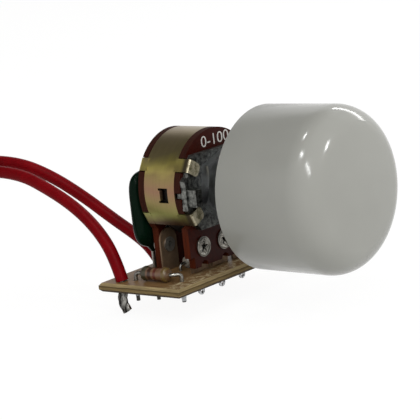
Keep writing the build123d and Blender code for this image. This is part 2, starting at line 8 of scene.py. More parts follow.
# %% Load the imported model
import json
from math import atan2, cos, exp, pi, radians, sin, sqrt, tan
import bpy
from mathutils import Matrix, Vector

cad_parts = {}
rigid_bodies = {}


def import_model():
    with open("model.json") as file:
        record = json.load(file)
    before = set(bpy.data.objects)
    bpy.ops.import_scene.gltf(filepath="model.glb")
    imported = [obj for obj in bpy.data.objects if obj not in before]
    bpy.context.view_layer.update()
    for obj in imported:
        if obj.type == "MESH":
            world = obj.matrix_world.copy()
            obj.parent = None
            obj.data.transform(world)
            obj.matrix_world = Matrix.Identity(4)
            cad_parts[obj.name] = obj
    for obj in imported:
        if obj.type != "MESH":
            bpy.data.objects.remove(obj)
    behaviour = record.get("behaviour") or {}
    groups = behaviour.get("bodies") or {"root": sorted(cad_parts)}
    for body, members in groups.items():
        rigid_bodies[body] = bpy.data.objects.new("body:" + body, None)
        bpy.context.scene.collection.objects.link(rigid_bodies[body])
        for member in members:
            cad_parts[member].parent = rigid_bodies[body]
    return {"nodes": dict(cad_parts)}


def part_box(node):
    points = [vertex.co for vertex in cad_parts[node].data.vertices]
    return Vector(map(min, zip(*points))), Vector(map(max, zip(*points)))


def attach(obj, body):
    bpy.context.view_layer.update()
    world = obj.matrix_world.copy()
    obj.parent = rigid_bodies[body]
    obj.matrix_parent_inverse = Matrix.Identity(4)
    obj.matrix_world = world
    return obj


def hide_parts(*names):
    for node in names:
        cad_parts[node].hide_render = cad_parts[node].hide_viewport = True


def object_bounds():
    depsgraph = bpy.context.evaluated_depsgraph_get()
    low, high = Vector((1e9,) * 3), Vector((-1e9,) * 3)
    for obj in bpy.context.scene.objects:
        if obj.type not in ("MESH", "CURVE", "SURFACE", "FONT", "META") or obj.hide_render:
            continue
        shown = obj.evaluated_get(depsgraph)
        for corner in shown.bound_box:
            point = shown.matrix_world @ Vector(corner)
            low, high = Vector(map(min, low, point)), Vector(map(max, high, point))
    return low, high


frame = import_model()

from types import SimpleNamespace
import bmesh
import bpy
from mathutils import Euler, Matrix, Vector

MM = 0.001
cad_box = [list(corner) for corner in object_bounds()]
nodes = frame["nodes"]
scene_objects = bpy.context.scene.collection.objects

# %% [markdown]
# ## The camera
# A portrait camera can be placed by eye, or worked out from known sizes in the picture. Here it was
# worked out from the terminal pitch of 5 mm, the round wafers and the board's straight edges. That gives
# its place, its three turning angles and its lens.

# %% Camera
camera_place = Vector((-230.81, -196.02, 58.35)) * MM
camera_turn = Euler([radians(angle) for angle in (78.542, 6.416, -50.669)])
lens = bpy.data.cameras.new("portrait_camera")
lens.sensor_width = 36.0
lens.lens = 172.39
lens.shift_x = -0.01057
lens.shift_y = -0.01843
lens.clip_start = 0.01
camera = bpy.data.objects.new("portrait_camera", lens)
camera.matrix_world = Matrix.LocRotScale(camera_place, camera_turn, None)
scene_objects.link(camera)
bpy.context.scene.camera = camera
bpy.context.scene.view_settings.view_transform = "Standard"
print("camera stands", round(camera_place.length, 3), "m from the shaft")

# %% [markdown]
# ## The two red leads
# Each lead is stranded copper in soft PVC, cut to about 75 mm and stripped at its far end. A lead could
# be a mesh tube, but a NURBS curve with a round bevel bends as smoothly as the real thing. The control
# points are the route of the solid. The order and the end points are set after the points are added.

# %% Lead curves
lead_diameter = 1.95 * MM
lead_routes = {
    "first": [
        (-13.3, 10.85, -12.55), (-13.3, 11.9, -8.8), (-13.2, 14.6, -4.9), (-13.0, 19.0, -1.5),
        (-12.6, 25.0, 1.2), (-12.0, 31.6, 3.3), (-12.3, 41.0, 3.6), (-12.6, 50.0, -3.6),
        (-13.2, 54.0, -13.4), (-15.4, 62.4, -16.85), (-20.6, 68.5, -16.85),
    ],
    "second": [
        (-3.2, 11.6, -12.45), (-3.25, 12.9, -10.4), (-3.45, 15.3, -8.3), (-4.0, 20.0, -5.4),
        (-5.0, 24.8, -1.8), (-6.5, 29.9, 1.7), (-8.0, 35.5, 4.1), (-8.3, 44.6, 4.2),
        (-7.9, 53.2, -3.4), (-7.0, 57.0, -13.2), (-4.4, 65.2, -16.85), (2.4, 69.8, -16.85),
    ],
}


def path_curve(name, paths, kind="NURBS", resolution=12):
    """A curve with one spline along each list of places in mm."""
    curve = bpy.data.curves.new(name, "CURVE")
    curve.dimensions = "3D"
    curve.resolution_u = resolution
    for path in paths:
        spline = curve.splines.new(kind)
        spline.points.add(len(path) - 1)
        for point, place in zip(spline.points, path):
            point.co = (*(Vector(place) * MM), 1.0)
        if kind == "NURBS":
            spline.order_u = 3
            spline.use_endpoint_u = True
    return curve


red_leads = {}
for name, route in lead_routes.items():
    curve = path_curve("red_lead_" + name, [route], resolution=10)
    curve.bevel_depth = lead_diameter / 2
    curve.bevel_resolution = 6
    curve.use_fill_caps = True
    red_leads[name] = bpy.data.objects.new("red_lead_" + name, curve)
print("leads", sorted(red_leads))

# %% [markdown]
# ## Colours and nodes
# A finish is a small net of nodes. One helper turns a colour as a painter writes it (sRGB hex) into the
# linear numbers that a shader needs. Two more fill the inputs of a node and add a node, so that a step
# of a finish is one line that says what feeds it.

# %% Node helpers
# two of the Mix node's inputs hold its colours, and they go by number because others share their names
FIRST, SECOND = 6, 7


def linear(code):
    channels = [int(code[i:i + 2], 16) / 255 for i in (1, 3, 5)]
    bent = [c / 12.92 if c <= 0.04045 else ((c + 0.055) / 1.055) ** 2.4 for c in channels]
    return (*bent, 1.0)


def wire(tree, node, inputs):
    """Fills inputs with values, hex colours, sockets, or nodes whose first live output is meant."""
    for key, source in inputs.items():
        if isinstance(source, bpy.types.Node):
            source = next(socket for socket in source.outputs if socket.enabled)
        if isinstance(source, bpy.types.NodeSocket):
            tree.links.new(source, node.inputs[key])
        else:
            is_colour = isinstance(source, str) and source.startswith("#")
            node.inputs[key].default_value = linear(source) if is_colour else source
    return node


def add(tree, kind, inputs=None, stops=(), **settings):
    """Adds a node with its settings, the stops of a colour ramp in rising order, and its inputs."""
    node = tree.nodes.new(kind)
    for name, setting in settings.items():
        setattr(node, name, setting)
    for _ in stops[2:]:
        node.color_ramp.elements.new(1.0)
    for count, (position, code) in enumerate(stops):
        node.color_ramp.elements[count].position = position
        node.color_ramp.elements[count].color = linear(code)
    return wire(tree, node, inputs or {})


print("middle grey in linear numbers", linear("#808080"))

# %% [markdown]
# ## Red PVC
# Extruded soft PVC has an even colour, a soft gloss and faint long waves from handling. A noise of a few
# millimetres shifts the red a little, and a fine bump breaks the highlight. Most surfaces drift between
# two shades and two glosses in this way, so that much is a function, and each finish adds what it has more.

# %% PVC finish
def new_finish(name):
    material = bpy.data.materials.new(name)
    material.use_nodes = True
    tree = material.node_tree
    place = add(tree, "ShaderNodeTexCoord").outputs
    print("finish", name)
    return SimpleNamespace(material=material, tree=tree, shader=tree.nodes["Principled BSDF"], place=place)


def cloudy_finish(name, size, codes, roughs=None, metal=0.0, detail=4.0, grain=0.6):
    """A finish that drifts between two shades and two glosses by a noise. Its size is in mm."""
    finish = new_finish(name)
    finish.cloud = add(finish.tree, "ShaderNodeTexNoise", {
        "Vector": finish.place["Object"], "Scale": 1 / (size * MM), "Detail": detail, "Roughness": grain,
    })
    finish.tint = add(finish.tree, "ShaderNodeMix",
                      {"Factor": finish.cloud, FIRST: codes[0], SECOND: codes[1]}, data_type="RGBA")
    wire(finish.tree, finish.shader, {"Base Color": finish.tint, "Metallic": metal})
    if roughs:
        finish.rough = add(finish.tree, "ShaderNodeMapRange",
                           {"Value": finish.cloud, "To Min": roughs[0], "To Max": roughs[1]})
        wire(finish.tree, finish.shader, {"Roughness": finish.rough})
    return finish


red_pvc = cloudy_finish("red_pvc_insulation", 4.0, ("#560208", "#8A0710"), (0.34, 0.5),
                        detail=3.0, grain=0.55)
skin = add(red_pvc.tree, "ShaderNodeTexNoise",
           {"Vector": red_pvc.place["Object"], "Scale": 1 / (0.35 * MM)})
dents = add(red_pvc.tree, "ShaderNodeBump", {"Height": skin, "Strength": 0.12, "Distance": 0.05 * MM})
wire(red_pvc.tree, red_pvc.shader, {"Normal": dents, "Specular IOR Level": 0.04})

# %% [markdown]
# ## Bright wire
# Component legs are copper wire with a hot-dipped tin coat: pale grey, a little cloudy, with darker
# patches where flux and fingers have dulled it. The legs are darker below the board.

# %% Tinned wire finish
def dress(finish, *names):
    for name in names:
        nodes[name].data.materials.clear()
        nodes[name].data.materials.append(finish.material)
    print("dressed", *names)


def fade(finish, axis, start, end, source="Object", **settings):
    """A share from 0 to 1, as a place or a direction goes from start to end along an axis."""
    split = add(finish.tree, "ShaderNodeSeparateXYZ", {0: finish.place[source]}).outputs
    return add(finish.tree, "ShaderNodeMapRange",
               {"Value": split[axis], "From Min": start, "From Max": end}, **settings)


board_low, board_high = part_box("circuit_board")
darkening_reach = 0.6 * MM
tinned_wire = cloudy_finish("tinned_copper_wire", 0.9, ("#46433D", "#AEACA5"), (0.42, 0.24), metal=1.0)
tree = tinned_wire.tree
# the legs turn a darker grey from just below the board's underside downward
below_board_share = fade(tinned_wire, "Z", board_low.z + darkening_reach, board_low.z - darkening_reach)
darker_below_board = add(tree, "ShaderNodeMix",
            {"Factor": below_board_share, FIRST: tinned_wire.tint, SECOND: "#3A3834"}, data_type="RGBA")
wire(tree, tinned_wire.shader, {"Base Color": darker_below_board})
dress(tinned_wire, "capacitor_leads", "resistor_leads", "diac_leads", "triac_leads")

# %% [markdown]
# ## Twisted strands
# Bare ends of a lead are fine strands twisted together and tinned, at the board as well as at the far
# end. Seven separate wires could be drawn, but at this size the eye sees one lobed rope. A node tree
# sweeps a seven-lobed outline along a path and twists it on the way.

# %% Tree helpers
def new_tree(name, sizes):
    """A tree with an input for the base, for each named size and for the material."""
    tree = bpy.data.node_groups.new(name, "GeometryNodeTree")
    tree.interface.new_socket(name="Geometry", in_out="OUTPUT", socket_type="NodeSocketGeometry")
    tree.interface.new_socket(name="Geometry", in_out="INPUT", socket_type="NodeSocketGeometry")
    for key, value in sizes.items():
        socket = tree.interface.new_socket(name=key, in_out="INPUT", socket_type="NodeSocketFloat")
        socket.default_value = value
    tree.interface.new_socket(name="Material", in_out="INPUT", socket_type="NodeSocketMaterial")
    return tree, tree.nodes.new("NodeGroupInput").outputs


def end_tree(tree, inside, shape, smooth=True):
    """Every tree ends alike: its copies become one mesh, which gets the material."""
    if smooth:
        shape = add(tree, "GeometryNodeSetShadeSmooth", {0: shape})
    whole = add(tree, "GeometryNodeRealizeInstances", {0: shape})
    painted = add(tree, "GeometryNodeSetMaterial", {"Geometry": whole, "Material": inside["Material"]})
    add(tree, "NodeGroupOutput", {0: painted})
    print("tree", tree.name, "has", len(tree.nodes), "nodes")


def grow(name, tree, base, finish, sizes=None):
    """Runs a tree on a base mesh or curve and keeps the result as a plain mesh."""
    holder = bpy.data.objects.new(name + "_seed", base)
    scene_objects.link(holder)
    modifier = holder.modifiers.new(name, "NODES")
    modifier.node_group = tree
    settings = {"Material": finish.material, **(sizes or {})}
    for socket in tree.interface.items_tree:
        if socket.in_out == "INPUT" and socket.name in settings:
            modifier[socket.identifier] = settings[socket.name]
    depsgraph = bpy.context.evaluated_depsgraph_get()
    depsgraph.update()
    mesh = bpy.data.meshes.new_from_object(holder.evaluated_get(depsgraph))
    holder.modifiers.clear()
    bpy.data.objects.remove(holder)
    print(name, "has", len(mesh.polygons), "faces")
    return bpy.data.objects.new(name, mesh)


# %% Strand tree
strand_tree, inside = new_tree("twisted_strands", {
    "Bundle radius": 0.6 * MM, "Groove radius": 0.5 * MM, "Turns": 0.6,
})
tree = strand_tree
evened = add(tree, "GeometryNodeResampleCurve", {"Curve": inside["Geometry"], "Count": 30})
along = add(tree, "GeometryNodeSplineParameter")
turned = add(tree, "ShaderNodeMath", {0: along, 1: inside["Turns"]}, operation="MULTIPLY")
angle = add(tree, "ShaderNodeMath", {0: turned, 1: 2 * pi}, operation="MULTIPLY")
twisted = add(tree, "GeometryNodeSetCurveTilt", {"Curve": evened, "Tilt": angle})
petals = add(tree, "GeometryNodeCurveStar", {
    "Inner Radius": inside["Groove radius"], "Outer Radius": inside["Bundle radius"], "Points": 7,
})
bent = add(tree, "GeometryNodeCurveSplineType", {"Curve": petals}, spline_type="BEZIER")
soft = add(tree, "GeometryNodeCurveSetHandles", {"Curve": bent}, handle_type="AUTO")
section = add(tree, "GeometryNodeResampleCurve", {"Curve": soft, "Count": 42})
rope = add(tree, "GeometryNodeCurveToMesh", {"Curve": twisted, "Profile Curve": section, "Fill Caps": True})
end_tree(tree, inside, rope)

# %% Leads in place
def finish_piece(piece, body, slot, material, *replaced):
    """Hangs a finished piece on its body and hides the solids it stands for."""
    scene_objects.link(piece)
    if material:
        piece.data.materials.append(material)
    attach(piece, body)
    if replaced:
        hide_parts(*replaced)
    print(piece.name, "rides", body)
    return piece


bare_length = 6.0
for name, route in lead_routes.items():
    start = Vector(route[-1])
    heading = (start - Vector(route[-2])).normalized()
    straight = [start + heading * bare_length * share for share in (-0.05, 0.5, 1.0)]
    bare_path = path_curve("bare_path_" + name, [straight])
    strands = grow("bare_strands_" + name, strand_tree, bare_path, tinned_wire)
    finish_piece(strands, "module", "tinned_wire", None, "lead_" + name + "_end")
    lead = finish_piece(red_leads[name], "module", "insulation", red_pvc.material, "lead_" + name)

# %% Soldered tails
dipped = new_finish("solder_dipped_strands")
tree = dipped.tree
drawn = add(tree, "ShaderNodeMapping", {"Vector": dipped.place["Object"], "Scale": (1.0, 1.0, 0.3)})
crease = add(tree, "ShaderNodeTexNoise",
             {"Vector": drawn, "Scale": 1 / (0.6 * MM), "Detail": 3.0, "Roughness": 0.6})
tint = add(tree, "ShaderNodeValToRGB", {"Fac": crease}, stops=((0.42, "#211F1C"), (0.7, "#A6A49E")))
wire(tree, dipped.shader, {"Base Color": tint, "Metallic": 1.0, "Roughness": 0.26})

tail_paths = [
    [(-13.3, 10.9, -11.8), (-13.3, 10.9, -14.2), (-13.55, 11.1, -15.6),
     (-13.3, 10.95, -16.7), (-13.1, 10.65, -17.4)],
    [(-3.2, 11.7, -11.6), (-3.2, 11.7, -14.2), (-3.0, 11.9, -15.7), (-3.3, 11.6, -17.3)],
]
tails = grow("twisted_tails", strand_tree, path_curve("tail_paths", tail_paths), dipped,
             {"Bundle radius": 0.76 * MM, "Groove radius": 0.58 * MM})
finish_piece(tails, "module", "tinned_wire", None, "lead_tails")

# %% [markdown]
# ## The knob
# The knob is one moulding: a drafted cup with a domed face and a generous round edge, a boss with a
# D-shaped bore, and four ribs. A turned outline is the honest way to draw it. The solid shows its facets
# on such a big smooth form, so the outline is turned again here in finer steps, and the ribs are added.

# %% Knob outline
knob_low, knob_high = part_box("knob")
knob_front, knob_rear = knob_low.y / MM, knob_high.y / MM
knob_rim, knob_draft = 12.5, radians(0.6)
knob_dome, knob_edge, rim_edge = 1.4, 4.6, 0.4
cup_inside, cup_floor, cup_corner = 10.7, -23.4, 2.0
boss_radius, boss_rear, boss_foot = 4.8, -9.5, 0.4
bore_radius, bore_end, bore_flat = 3.02, -20.4, 1.54
chamfer, mouth_width, mouth_depth = 0.2, 0.23, 0.25

face_radius = knob_rim + (knob_rear - knob_front) * tan(knob_draft)
dome_radius = (face_radius**2 + knob_dome**2) / (2 * knob_dome)
dome_centre = knob_front + dome_radius
# centre of the round edge: one edge radius inside the side and inside the dome
side_offset = knob_rim - knob_edge / cos(knob_draft)
edge_y = knob_front + knob_edge
for _ in range(20):
    edge_r = side_offset + (knob_rear - edge_y) * tan(knob_draft)
    edge_y = dome_centre - sqrt((dome_radius - knob_edge) ** 2 - edge_r**2)
dome_end = atan2(edge_r, dome_centre - edge_y)
side_turn = pi / 2 + knob_draft


def arc(centre_r, centre_y, radius, start, end, steps):
    """Points (radius, depth) on an arc, after its start and up to its end."""
    angles = [start + (end - start) * (i + 1) / steps for i in range(steps)]
    return [(centre_r + radius * sin(angle), centre_y - radius * cos(angle)) for angle in angles]


outline = [(0.0, knob_front)]
outline += arc(0.0, dome_centre, dome_radius, 0.0, dome_end, 10)
outline += arc(edge_r, edge_y, knob_edge, dome_end, side_turn, 18)
outline += arc(knob_rim - rim_edge, knob_rear - rim_edge, rim_edge, side_turn, pi, 6)
outline += [
    (cup_inside + chamfer, knob_rear), (cup_inside, knob_rear - chamfer),
    (cup_inside, cup_floor + cup_corner), (cup_inside - cup_corner, cup_floor),
    (boss_radius + boss_foot, cup_floor), (boss_radius, cup_floor + boss_foot),
    (boss_radius, boss_rear - chamfer), (boss_radius - chamfer, boss_rear),
    (bore_radius + mouth_width, boss_rear), (bore_radius, boss_rear - mouth_depth),
    (bore_radius, bore_end), (0.0, bore_end),
]
print("knob outline", len(outline), "points")

# %% Knob mesh
def skin_rings(form, rings, steps):
    """Joins each ring of vertices to the next. A ring of one vertex is a tip."""
    for one, two in zip(rings, rings[1:]):
        for i in range(steps):
            corners = [ring[j % len(ring)] for ring, j in ((one, i), (one, i + 1), (two, i + 1), (two, i))]
            unique = list(dict.fromkeys(corners))
            if len(unique) > 2:
                form.faces.new(unique)


def turn_outline(points, steps, centre=(0.0, 0.0, 0.0), shape=None):
    """Turns (radius, depth) points about an axis along Y through centre."""
    form = bmesh.new()
    rings = []
    for radius, depth in points:
        count = 1 if radius < 1e-6 else steps
        ring = []
        for i in range(count):
            angle = 2 * pi * i / count
            spot = Vector((radius * cos(angle), depth, radius * sin(angle)))
            if shape:
                spot = shape(spot, radius)
            ring.append(form.verts.new((spot + Vector(centre)) * MM))
        rings.append(ring)
    skin_rings(form, rings, steps)
    return form


def to_piece(name, form, sharp=35.0):
    bmesh.ops.recalc_face_normals(form, faces=form.faces)
    mesh = bpy.data.meshes.new(name)
    form.to_mesh(mesh)
    form.free()
    mesh.shade_smooth()
    mesh.set_sharp_from_angle(angle=radians(sharp))
    print(name, "has", len(mesh.polygons), "faces")
    return bpy.data.objects.new(name, mesh)


def flatten_bore(spot, radius):
    in_bore = radius <= bore_radius + mouth_width and spot.y > cup_floor + cup_corner
    if in_bore and spot.z > bore_flat:
        spot.z = bore_flat
    return spot


rib_size, rib_place = Vector((6.4, 9.9, 1.0)), Vector((7.7, -18.65, 0.0))
knob_form = turn_outline(outline, steps=144, shape=flatten_bore)
for quarter in range(4):
    spread = Matrix.Rotation(radians(45 + 90 * quarter), 4, "Y")
    box = bmesh.ops.create_cube(knob_form, size=1.0)["verts"]
    bmesh.ops.scale(knob_form, verts=box, vec=rib_size * MM)
    bmesh.ops.translate(knob_form, verts=box, vec=rib_place * MM)
    bmesh.ops.transform(knob_form, matrix=spread, verts=box)
knob = to_piece("moulded_knob", knob_form)

# %% [markdown]
# ## Moulded plastic
# The knob is a pale ABS moulding: an even, slightly warm grey-white with a faint unevenness in the
# colour and the softest orange peel. The tool was polished for the face and the round edge, which have
# a wet gloss, and left satin for the sides, which drag against the steel as the knob comes out.

# %% Knob finish
gloss_end, satin_start = -23.0 * MM, -11.0 * MM
knob_abs = cloudy_finish("moulded_abs_polished", 9.0, ("#989892", "#A0A09A"), (0.12, 0.16),
                         detail=2.0, grain=0.5)
tree, place = knob_abs.tree, knob_abs.place
satin = fade(knob_abs, "Y", gloss_end, satin_start, interpolation_type="SMOOTHSTEP")
rough = add(tree, "ShaderNodeMath", {0: satin, 1: 0.07, 2: knob_abs.rough}, operation="MULTIPLY_ADD")
glint = add(tree, "ShaderNodeMapRange", {"Value": satin, "To Min": 0.34, "To Max": 0.1})
peel = add(tree, "ShaderNodeTexNoise", {"Vector": place["Object"], "Scale": 1 / (1.6 * MM), "Detail": 1.0})
ripple = add(tree, "ShaderNodeBump", {"Height": peel, "Strength": 0.02, "Distance": 0.05 * MM})
wire(tree, knob_abs.shader, {"Roughness": rough, "Specular IOR Level": glint, "Normal": ripple})
finish_piece(knob, "spindle", "knob", knob_abs.material, "knob")

# %% [markdown]
# ## Yellow-passivated steel
# The clamp band is mild-steel strip, zinc plated and dipped in a yellow passivate. The film is thinner
# than a wavelength of light in places, so it shifts from straw yellow to olive, pink and brown. The shades
# lie in soft bands one above the other, and a noise of a few millimetres lets them drift. The bands are
# partly the film's own colour and partly painted light: the brown lower edge is painted shade and the
# bright straw band is a painted reflection. Fine rolling lines run along the strip. The film cracks where
# the strip is folded, so the tabs are duller, and their faces turned to the front are paler, partly as a
# painted highlight. The inside is painted nearly black, as painted shade.

# %% Band shades
band = new_finish("zinc_steel_yellow_passivate")
tree, place = band.tree, band.place
cloud = add(tree, "ShaderNodeTexNoise",
            {"Vector": place["Object"], "Scale": 1 / (6 * MM), "Distortion": 0.5})
drift = add(tree, "ShaderNodeMapRange",
            {"Value": cloud, "From Min": 0.3, "From Max": 0.7, "To Min": -0.9 * MM, "To Max": 0.9 * MM})
spot = add(tree, "ShaderNodeSeparateXYZ", {0: place["Object"]}).outputs
# the height, shifted by the noise, picks the film's tint and the painted shade and reflection of the bands
tint_and_light_height = add(tree, "ShaderNodeMath", {0: spot["Z"], 1: drift}, operation="ADD")
lowest, highest = -4.6, 9.0
share = add(tree, "ShaderNodeMapRange",
            {"Value": tint_and_light_height, "From Min": lowest * MM, "From Max": highest * MM})
# brown, olive, rose, tan, straw, khaki and drab, with their heights above the shaft's axis in mm;
# the brown at the lower edge is painted shade, and the bright straw is a painted reflection
shades = ((lowest, "#5A4630"), (-3.0, "#8C8C4E"), (1.0, "#8F6E56"), (3.0, "#8E7C50"),
          (4.5, "#BAAC60"), (6.0, "#968860"), (highest, "#8A7A5E"))
bands = add(tree, "ShaderNodeValToRGB", {"Fac": share},
            stops=[((height - lowest) / (highest - lowest), code) for height, code in shades])

# %% Band wear
def slope(finish, axis, start, end):
    """A share that rises from 0 at start to 1 at end as the surface turns to face along an axis."""
    side = add(finish.tree, "ShaderNodeSeparateXYZ", {0: finish.place["Normal"]}).outputs
    facing = add(finish.tree, "ShaderNodeMath", {0: side[axis]}, operation="ABSOLUTE")
    return add(finish.tree, "ShaderNodeMapRange", {"Value": facing, "From Min": start, "From Max": end})


inner_shade_edge, inner_shade_full = 8.5 * MM, 8.1 * MM
fold_rear, fold_front = 1.2 * MM, 0.6 * MM
lines = add(tree, "ShaderNodeMapping", {"Vector": place["Object"], "Scale": (0.06, 1.0, 0.06)})
grain = add(tree, "ShaderNodeTexNoise", {"Vector": lines, "Scale": 1 / (0.25 * MM)})
shade = add(tree, "ShaderNodeMapRange", {"Value": grain, "To Min": 0.88, "To Max": 1.08})
tone = add(tree, "ShaderNodeMix",
           {FIRST: bands, SECOND: shade, "Factor": 1.0}, data_type="RGBA", blend_type="MULTIPLY")
flat = add(tree, "ShaderNodeVectorMath", {0: place["Object"], 1: (1.0, 0.0, 1.0)}, operation="MULTIPLY")
from_axis = add(tree, "ShaderNodeVectorMath", {0: flat}, operation="LENGTH")
# painted shade: the inside of the band, nearer the axis than its plated face, is painted nearly black
painted_inner_shade = add(tree, "ShaderNodeMapRange",
            {"Value": from_axis, "From Min": inner_shade_edge, "From Max": inner_shade_full})
inner = add(tree, "ShaderNodeMix", {"Factor": painted_inner_shade, FIRST: tone, SECOND: "#1C0D0A"}, data_type="RGBA")
bent_over = slope(band, "Y", 0.35, 0.9)
in_front = fade(band, "Y", fold_rear, fold_front)
strained = add(tree, "ShaderNodeMix",
               {"Factor": in_front, FIRST: inner, SECOND: "#59503C"}, data_type="RGBA")
folded = add(tree, "ShaderNodeMapRange", {"Value": bent_over, "To Max": in_front})
crack = add(tree, "ShaderNodeTexNoise",
            {"Vector": place["Object"], "Scale": 1 / (0.7 * MM), "Detail": 4.0, "Roughness": 0.7})
# the pale cracked film on the folded tab faces turned to the front is partly a painted highlight
cracked_film_and_highlight = add(tree, "ShaderNodeValToRGB", {"Fac": crack}, stops=((0.36, "#6A6448"), (0.56, "#C4BBA0")))
worn = add(tree, "ShaderNodeMix", {"Factor": folded, FIRST: strained, SECOND: cracked_film_and_highlight}, data_type="RGBA")
rough = add(tree, "ShaderNodeMapRange", {"Value": cloud, "To Min": 0.26, "To Max": 0.4})
metal = add(tree, "ShaderNodeMapRange", {"Value": folded, "To Min": 0.85, "To Max": 0.35})
rolled = add(tree, "ShaderNodeBump", {"Height": grain, "Strength": 0.15, "Distance": 0.02 * MM})
wire(tree, band.shader, {"Base Color": worn, "Roughness": rough, "Metallic": metal, "Normal": rolled})
dress(band, "clamp_band")

# %% [markdown]
# ## Phenolic paper
# The two wafers are punched from resin-bonded paper: dark red-brown and glossy on the pressed faces,
# lighter and dry on the punched edges, where the paper's layers show as fine lines along the thickness.
# The surface direction tells faces from edges. The edges of the round rims are painted darker than
# the legs' edges, as painted shade.

# %% Wafer finish
leg_top, rim_foot = -7.0 * MM, -3.0 * MM
phenolic = cloudy_finish("phenolic_paper_red_brown", 0.7, ("#210703", "#431308"), detail=5.0, grain=0.65)
tree, place = phenolic.tree, phenolic.place
on_edge = slope(phenolic, "Y", 0.8, 0.3)
through = add(tree, "ShaderNodeMapping", {"Vector": place["Object"], "Scale": (0.12, 1.0, 0.12)})
layers = add(tree, "ShaderNodeTexNoise", {"Vector": through, "Scale": 1 / (0.22 * MM), "Detail": 3.0})
leg_edge_tint = add(tree, "ShaderNodeMix",
            {"Factor": layers, FIRST: "#2C0E04", SECOND: "#5C240E"}, data_type="RGBA")
dark = add(tree, "ShaderNodeMix", {"Factor": layers, FIRST: "#1A0905", SECOND: "#3E1A0E"}, data_type="RGBA")
# painted shade: the rims' edges take the darker mix, and the legs' edges take the redder one
painted_rim_shade = fade(phenolic, "Z", leg_top, rim_foot)
edge = add(tree, "ShaderNodeMix", {"Factor": painted_rim_shade, FIRST: leg_edge_tint, SECOND: dark}, data_type="RGBA")
both = add(tree, "ShaderNodeMix", {"Factor": on_edge, FIRST: phenolic.tint, SECOND: edge}, data_type="RGBA")
dry = add(tree, "ShaderNodeMapRange", {"Value": on_edge, "To Min": 0.36, "To Max": 0.68})
nap = add(tree, "ShaderNodeBump", {"Height": phenolic.cloud, "Strength": 0.12, "Distance": 0.03 * MM})
wire(tree, phenolic.shader,
     {"Base Color": both, "Roughness": dry, "Normal": nap, "Specular IOR Level": 0.08})
dress(phenolic, "track_wafer", "switch_wafer")

# %% [markdown]
# ## Die-cast zinc
# The plate and its bush are cast in zinc alloy: blue-grey, with the dull grain of the die and some
# brighter patches where it has been tumbled.

# %% Plate finish
die_cast = cloudy_finish("zinc_die_casting_tumbled", 0.6, ("#1B1C1B", "#868782"), (0.52, 0.34), metal=1.0)
tree = die_cast.tree
patch = add(tree, "ShaderNodeMapRange", {"Value": die_cast.cloud, "From Min": 0.32, "From Max": 0.7})
wire(tree, die_cast.tint, {"Factor": patch})
grain = add(tree, "ShaderNodeTexNoise",
            {"Vector": die_cast.place["Object"], "Scale": 1 / (0.3 * MM)})
cast = add(tree, "ShaderNodeBump", {"Height": grain, "Strength": 0.5, "Distance": 0.05 * MM})
wire(tree, die_cast.shader, {"Normal": cast})
dress(die_cast, "bush_plate")

# %% [markdown]
# ## Plated steel and bronze
# The nut is bright zinc-plated steel, the clip dark spring steel, the shaft turned aluminium with fine
# tool rings, and the two sprung contacts phosphor bronze.

# %% Nut, clip, shaft and contact finishes
for name, size, codes, roughs, where in (
    ("bright_zinc_nut_steel", 1.2, ("#8E9195", "#C3C6CA"), (0.38, 0.22), ("bush_nut",)),
    ("blued_spring_steel", 0.8, ("#2C2D31", "#4C4E54"), (0.42, 0.3), ("retaining_clip",)),
    ("phosphor_bronze_strip", 0.7, ("#9A6A38", "#C08C50"), (0.36, 0.24), ("track_wiper", "switch_contact")),
):
    dress(cloudy_finish(name, size, codes, roughs, metal=1.0), *where)

turned_shaft = new_finish("turned_aluminium")
tree = turned_shaft.tree
rings = add(tree, "ShaderNodeTexWave", {
    "Vector": turned_shaft.place["Object"], "Scale": 1 / (2.2 * MM), "Distortion": 0.4, "Detail": 2.0,
}, bands_direction="Y").outputs
tint = add(tree, "ShaderNodeMix",
           {"Factor": rings["Fac"], FIRST: "#8F9194", SECOND: "#B4B6B9"}, data_type="RGBA")
tool = add(tree, "ShaderNodeBump", {"Height": rings["Fac"], "Strength": 0.2, "Distance": 0.02 * MM})
wire(tree, turned_shaft.shader, {"Base Color": tint, "Normal": tool, "Metallic": 1.0, "Roughness": 0.32})
dress(turned_shaft, "shaft")

# %% [markdown]
# ## Terminals
# The terminals are punched brass with a tin coat that has gone grey-tan and patchy with flux and age.
# Below the board the solder wave has left them bright, with dark spots where it did not take.

# %% Terminal finish
wave_top, wave_full = board_low.z + 0.8 * MM, board_low.z + 0.2 * MM
tinned_brass = cloudy_finish("tinned_brass_aged", 1.6, ("#614B37", "#967F66"), (0.58, 0.36),
                             metal=0.7, grain=0.62)
tree, place = tinned_brass.tree, tinned_brass.place
wetted = fade(tinned_brass, "Z", wave_top, wave_full)
runs = add(tree, "ShaderNodeTexNoise",
           {"Vector": place["Object"], "Scale": 1 / (0.45 * MM), "Roughness": 0.6})
bright = add(tree, "ShaderNodeValToRGB", {"Fac": runs}, stops=((0.4, "#2E2E2E"), (0.56, "#D6D8DA")))
coat = add(tree, "ShaderNodeMix",
           {"Factor": wetted, FIRST: tinned_brass.tint, SECOND: bright}, data_type="RGBA")
wire(tree, tinned_brass.shader, {"Base Color": coat})
dress(tinned_brass, "track_terminal_left", "track_terminal_centre", "track_terminal_right",
      "switch_terminal_left", "switch_terminal_right")

# %% [markdown]
# ## Printed tracks, rotor and small packages
# Inside the band sit a carbon film, a silver print and the black rotor. On the board lie the pale
# glass trigger and the black moulded power switch. Each keeps its solid and gets its own finish.

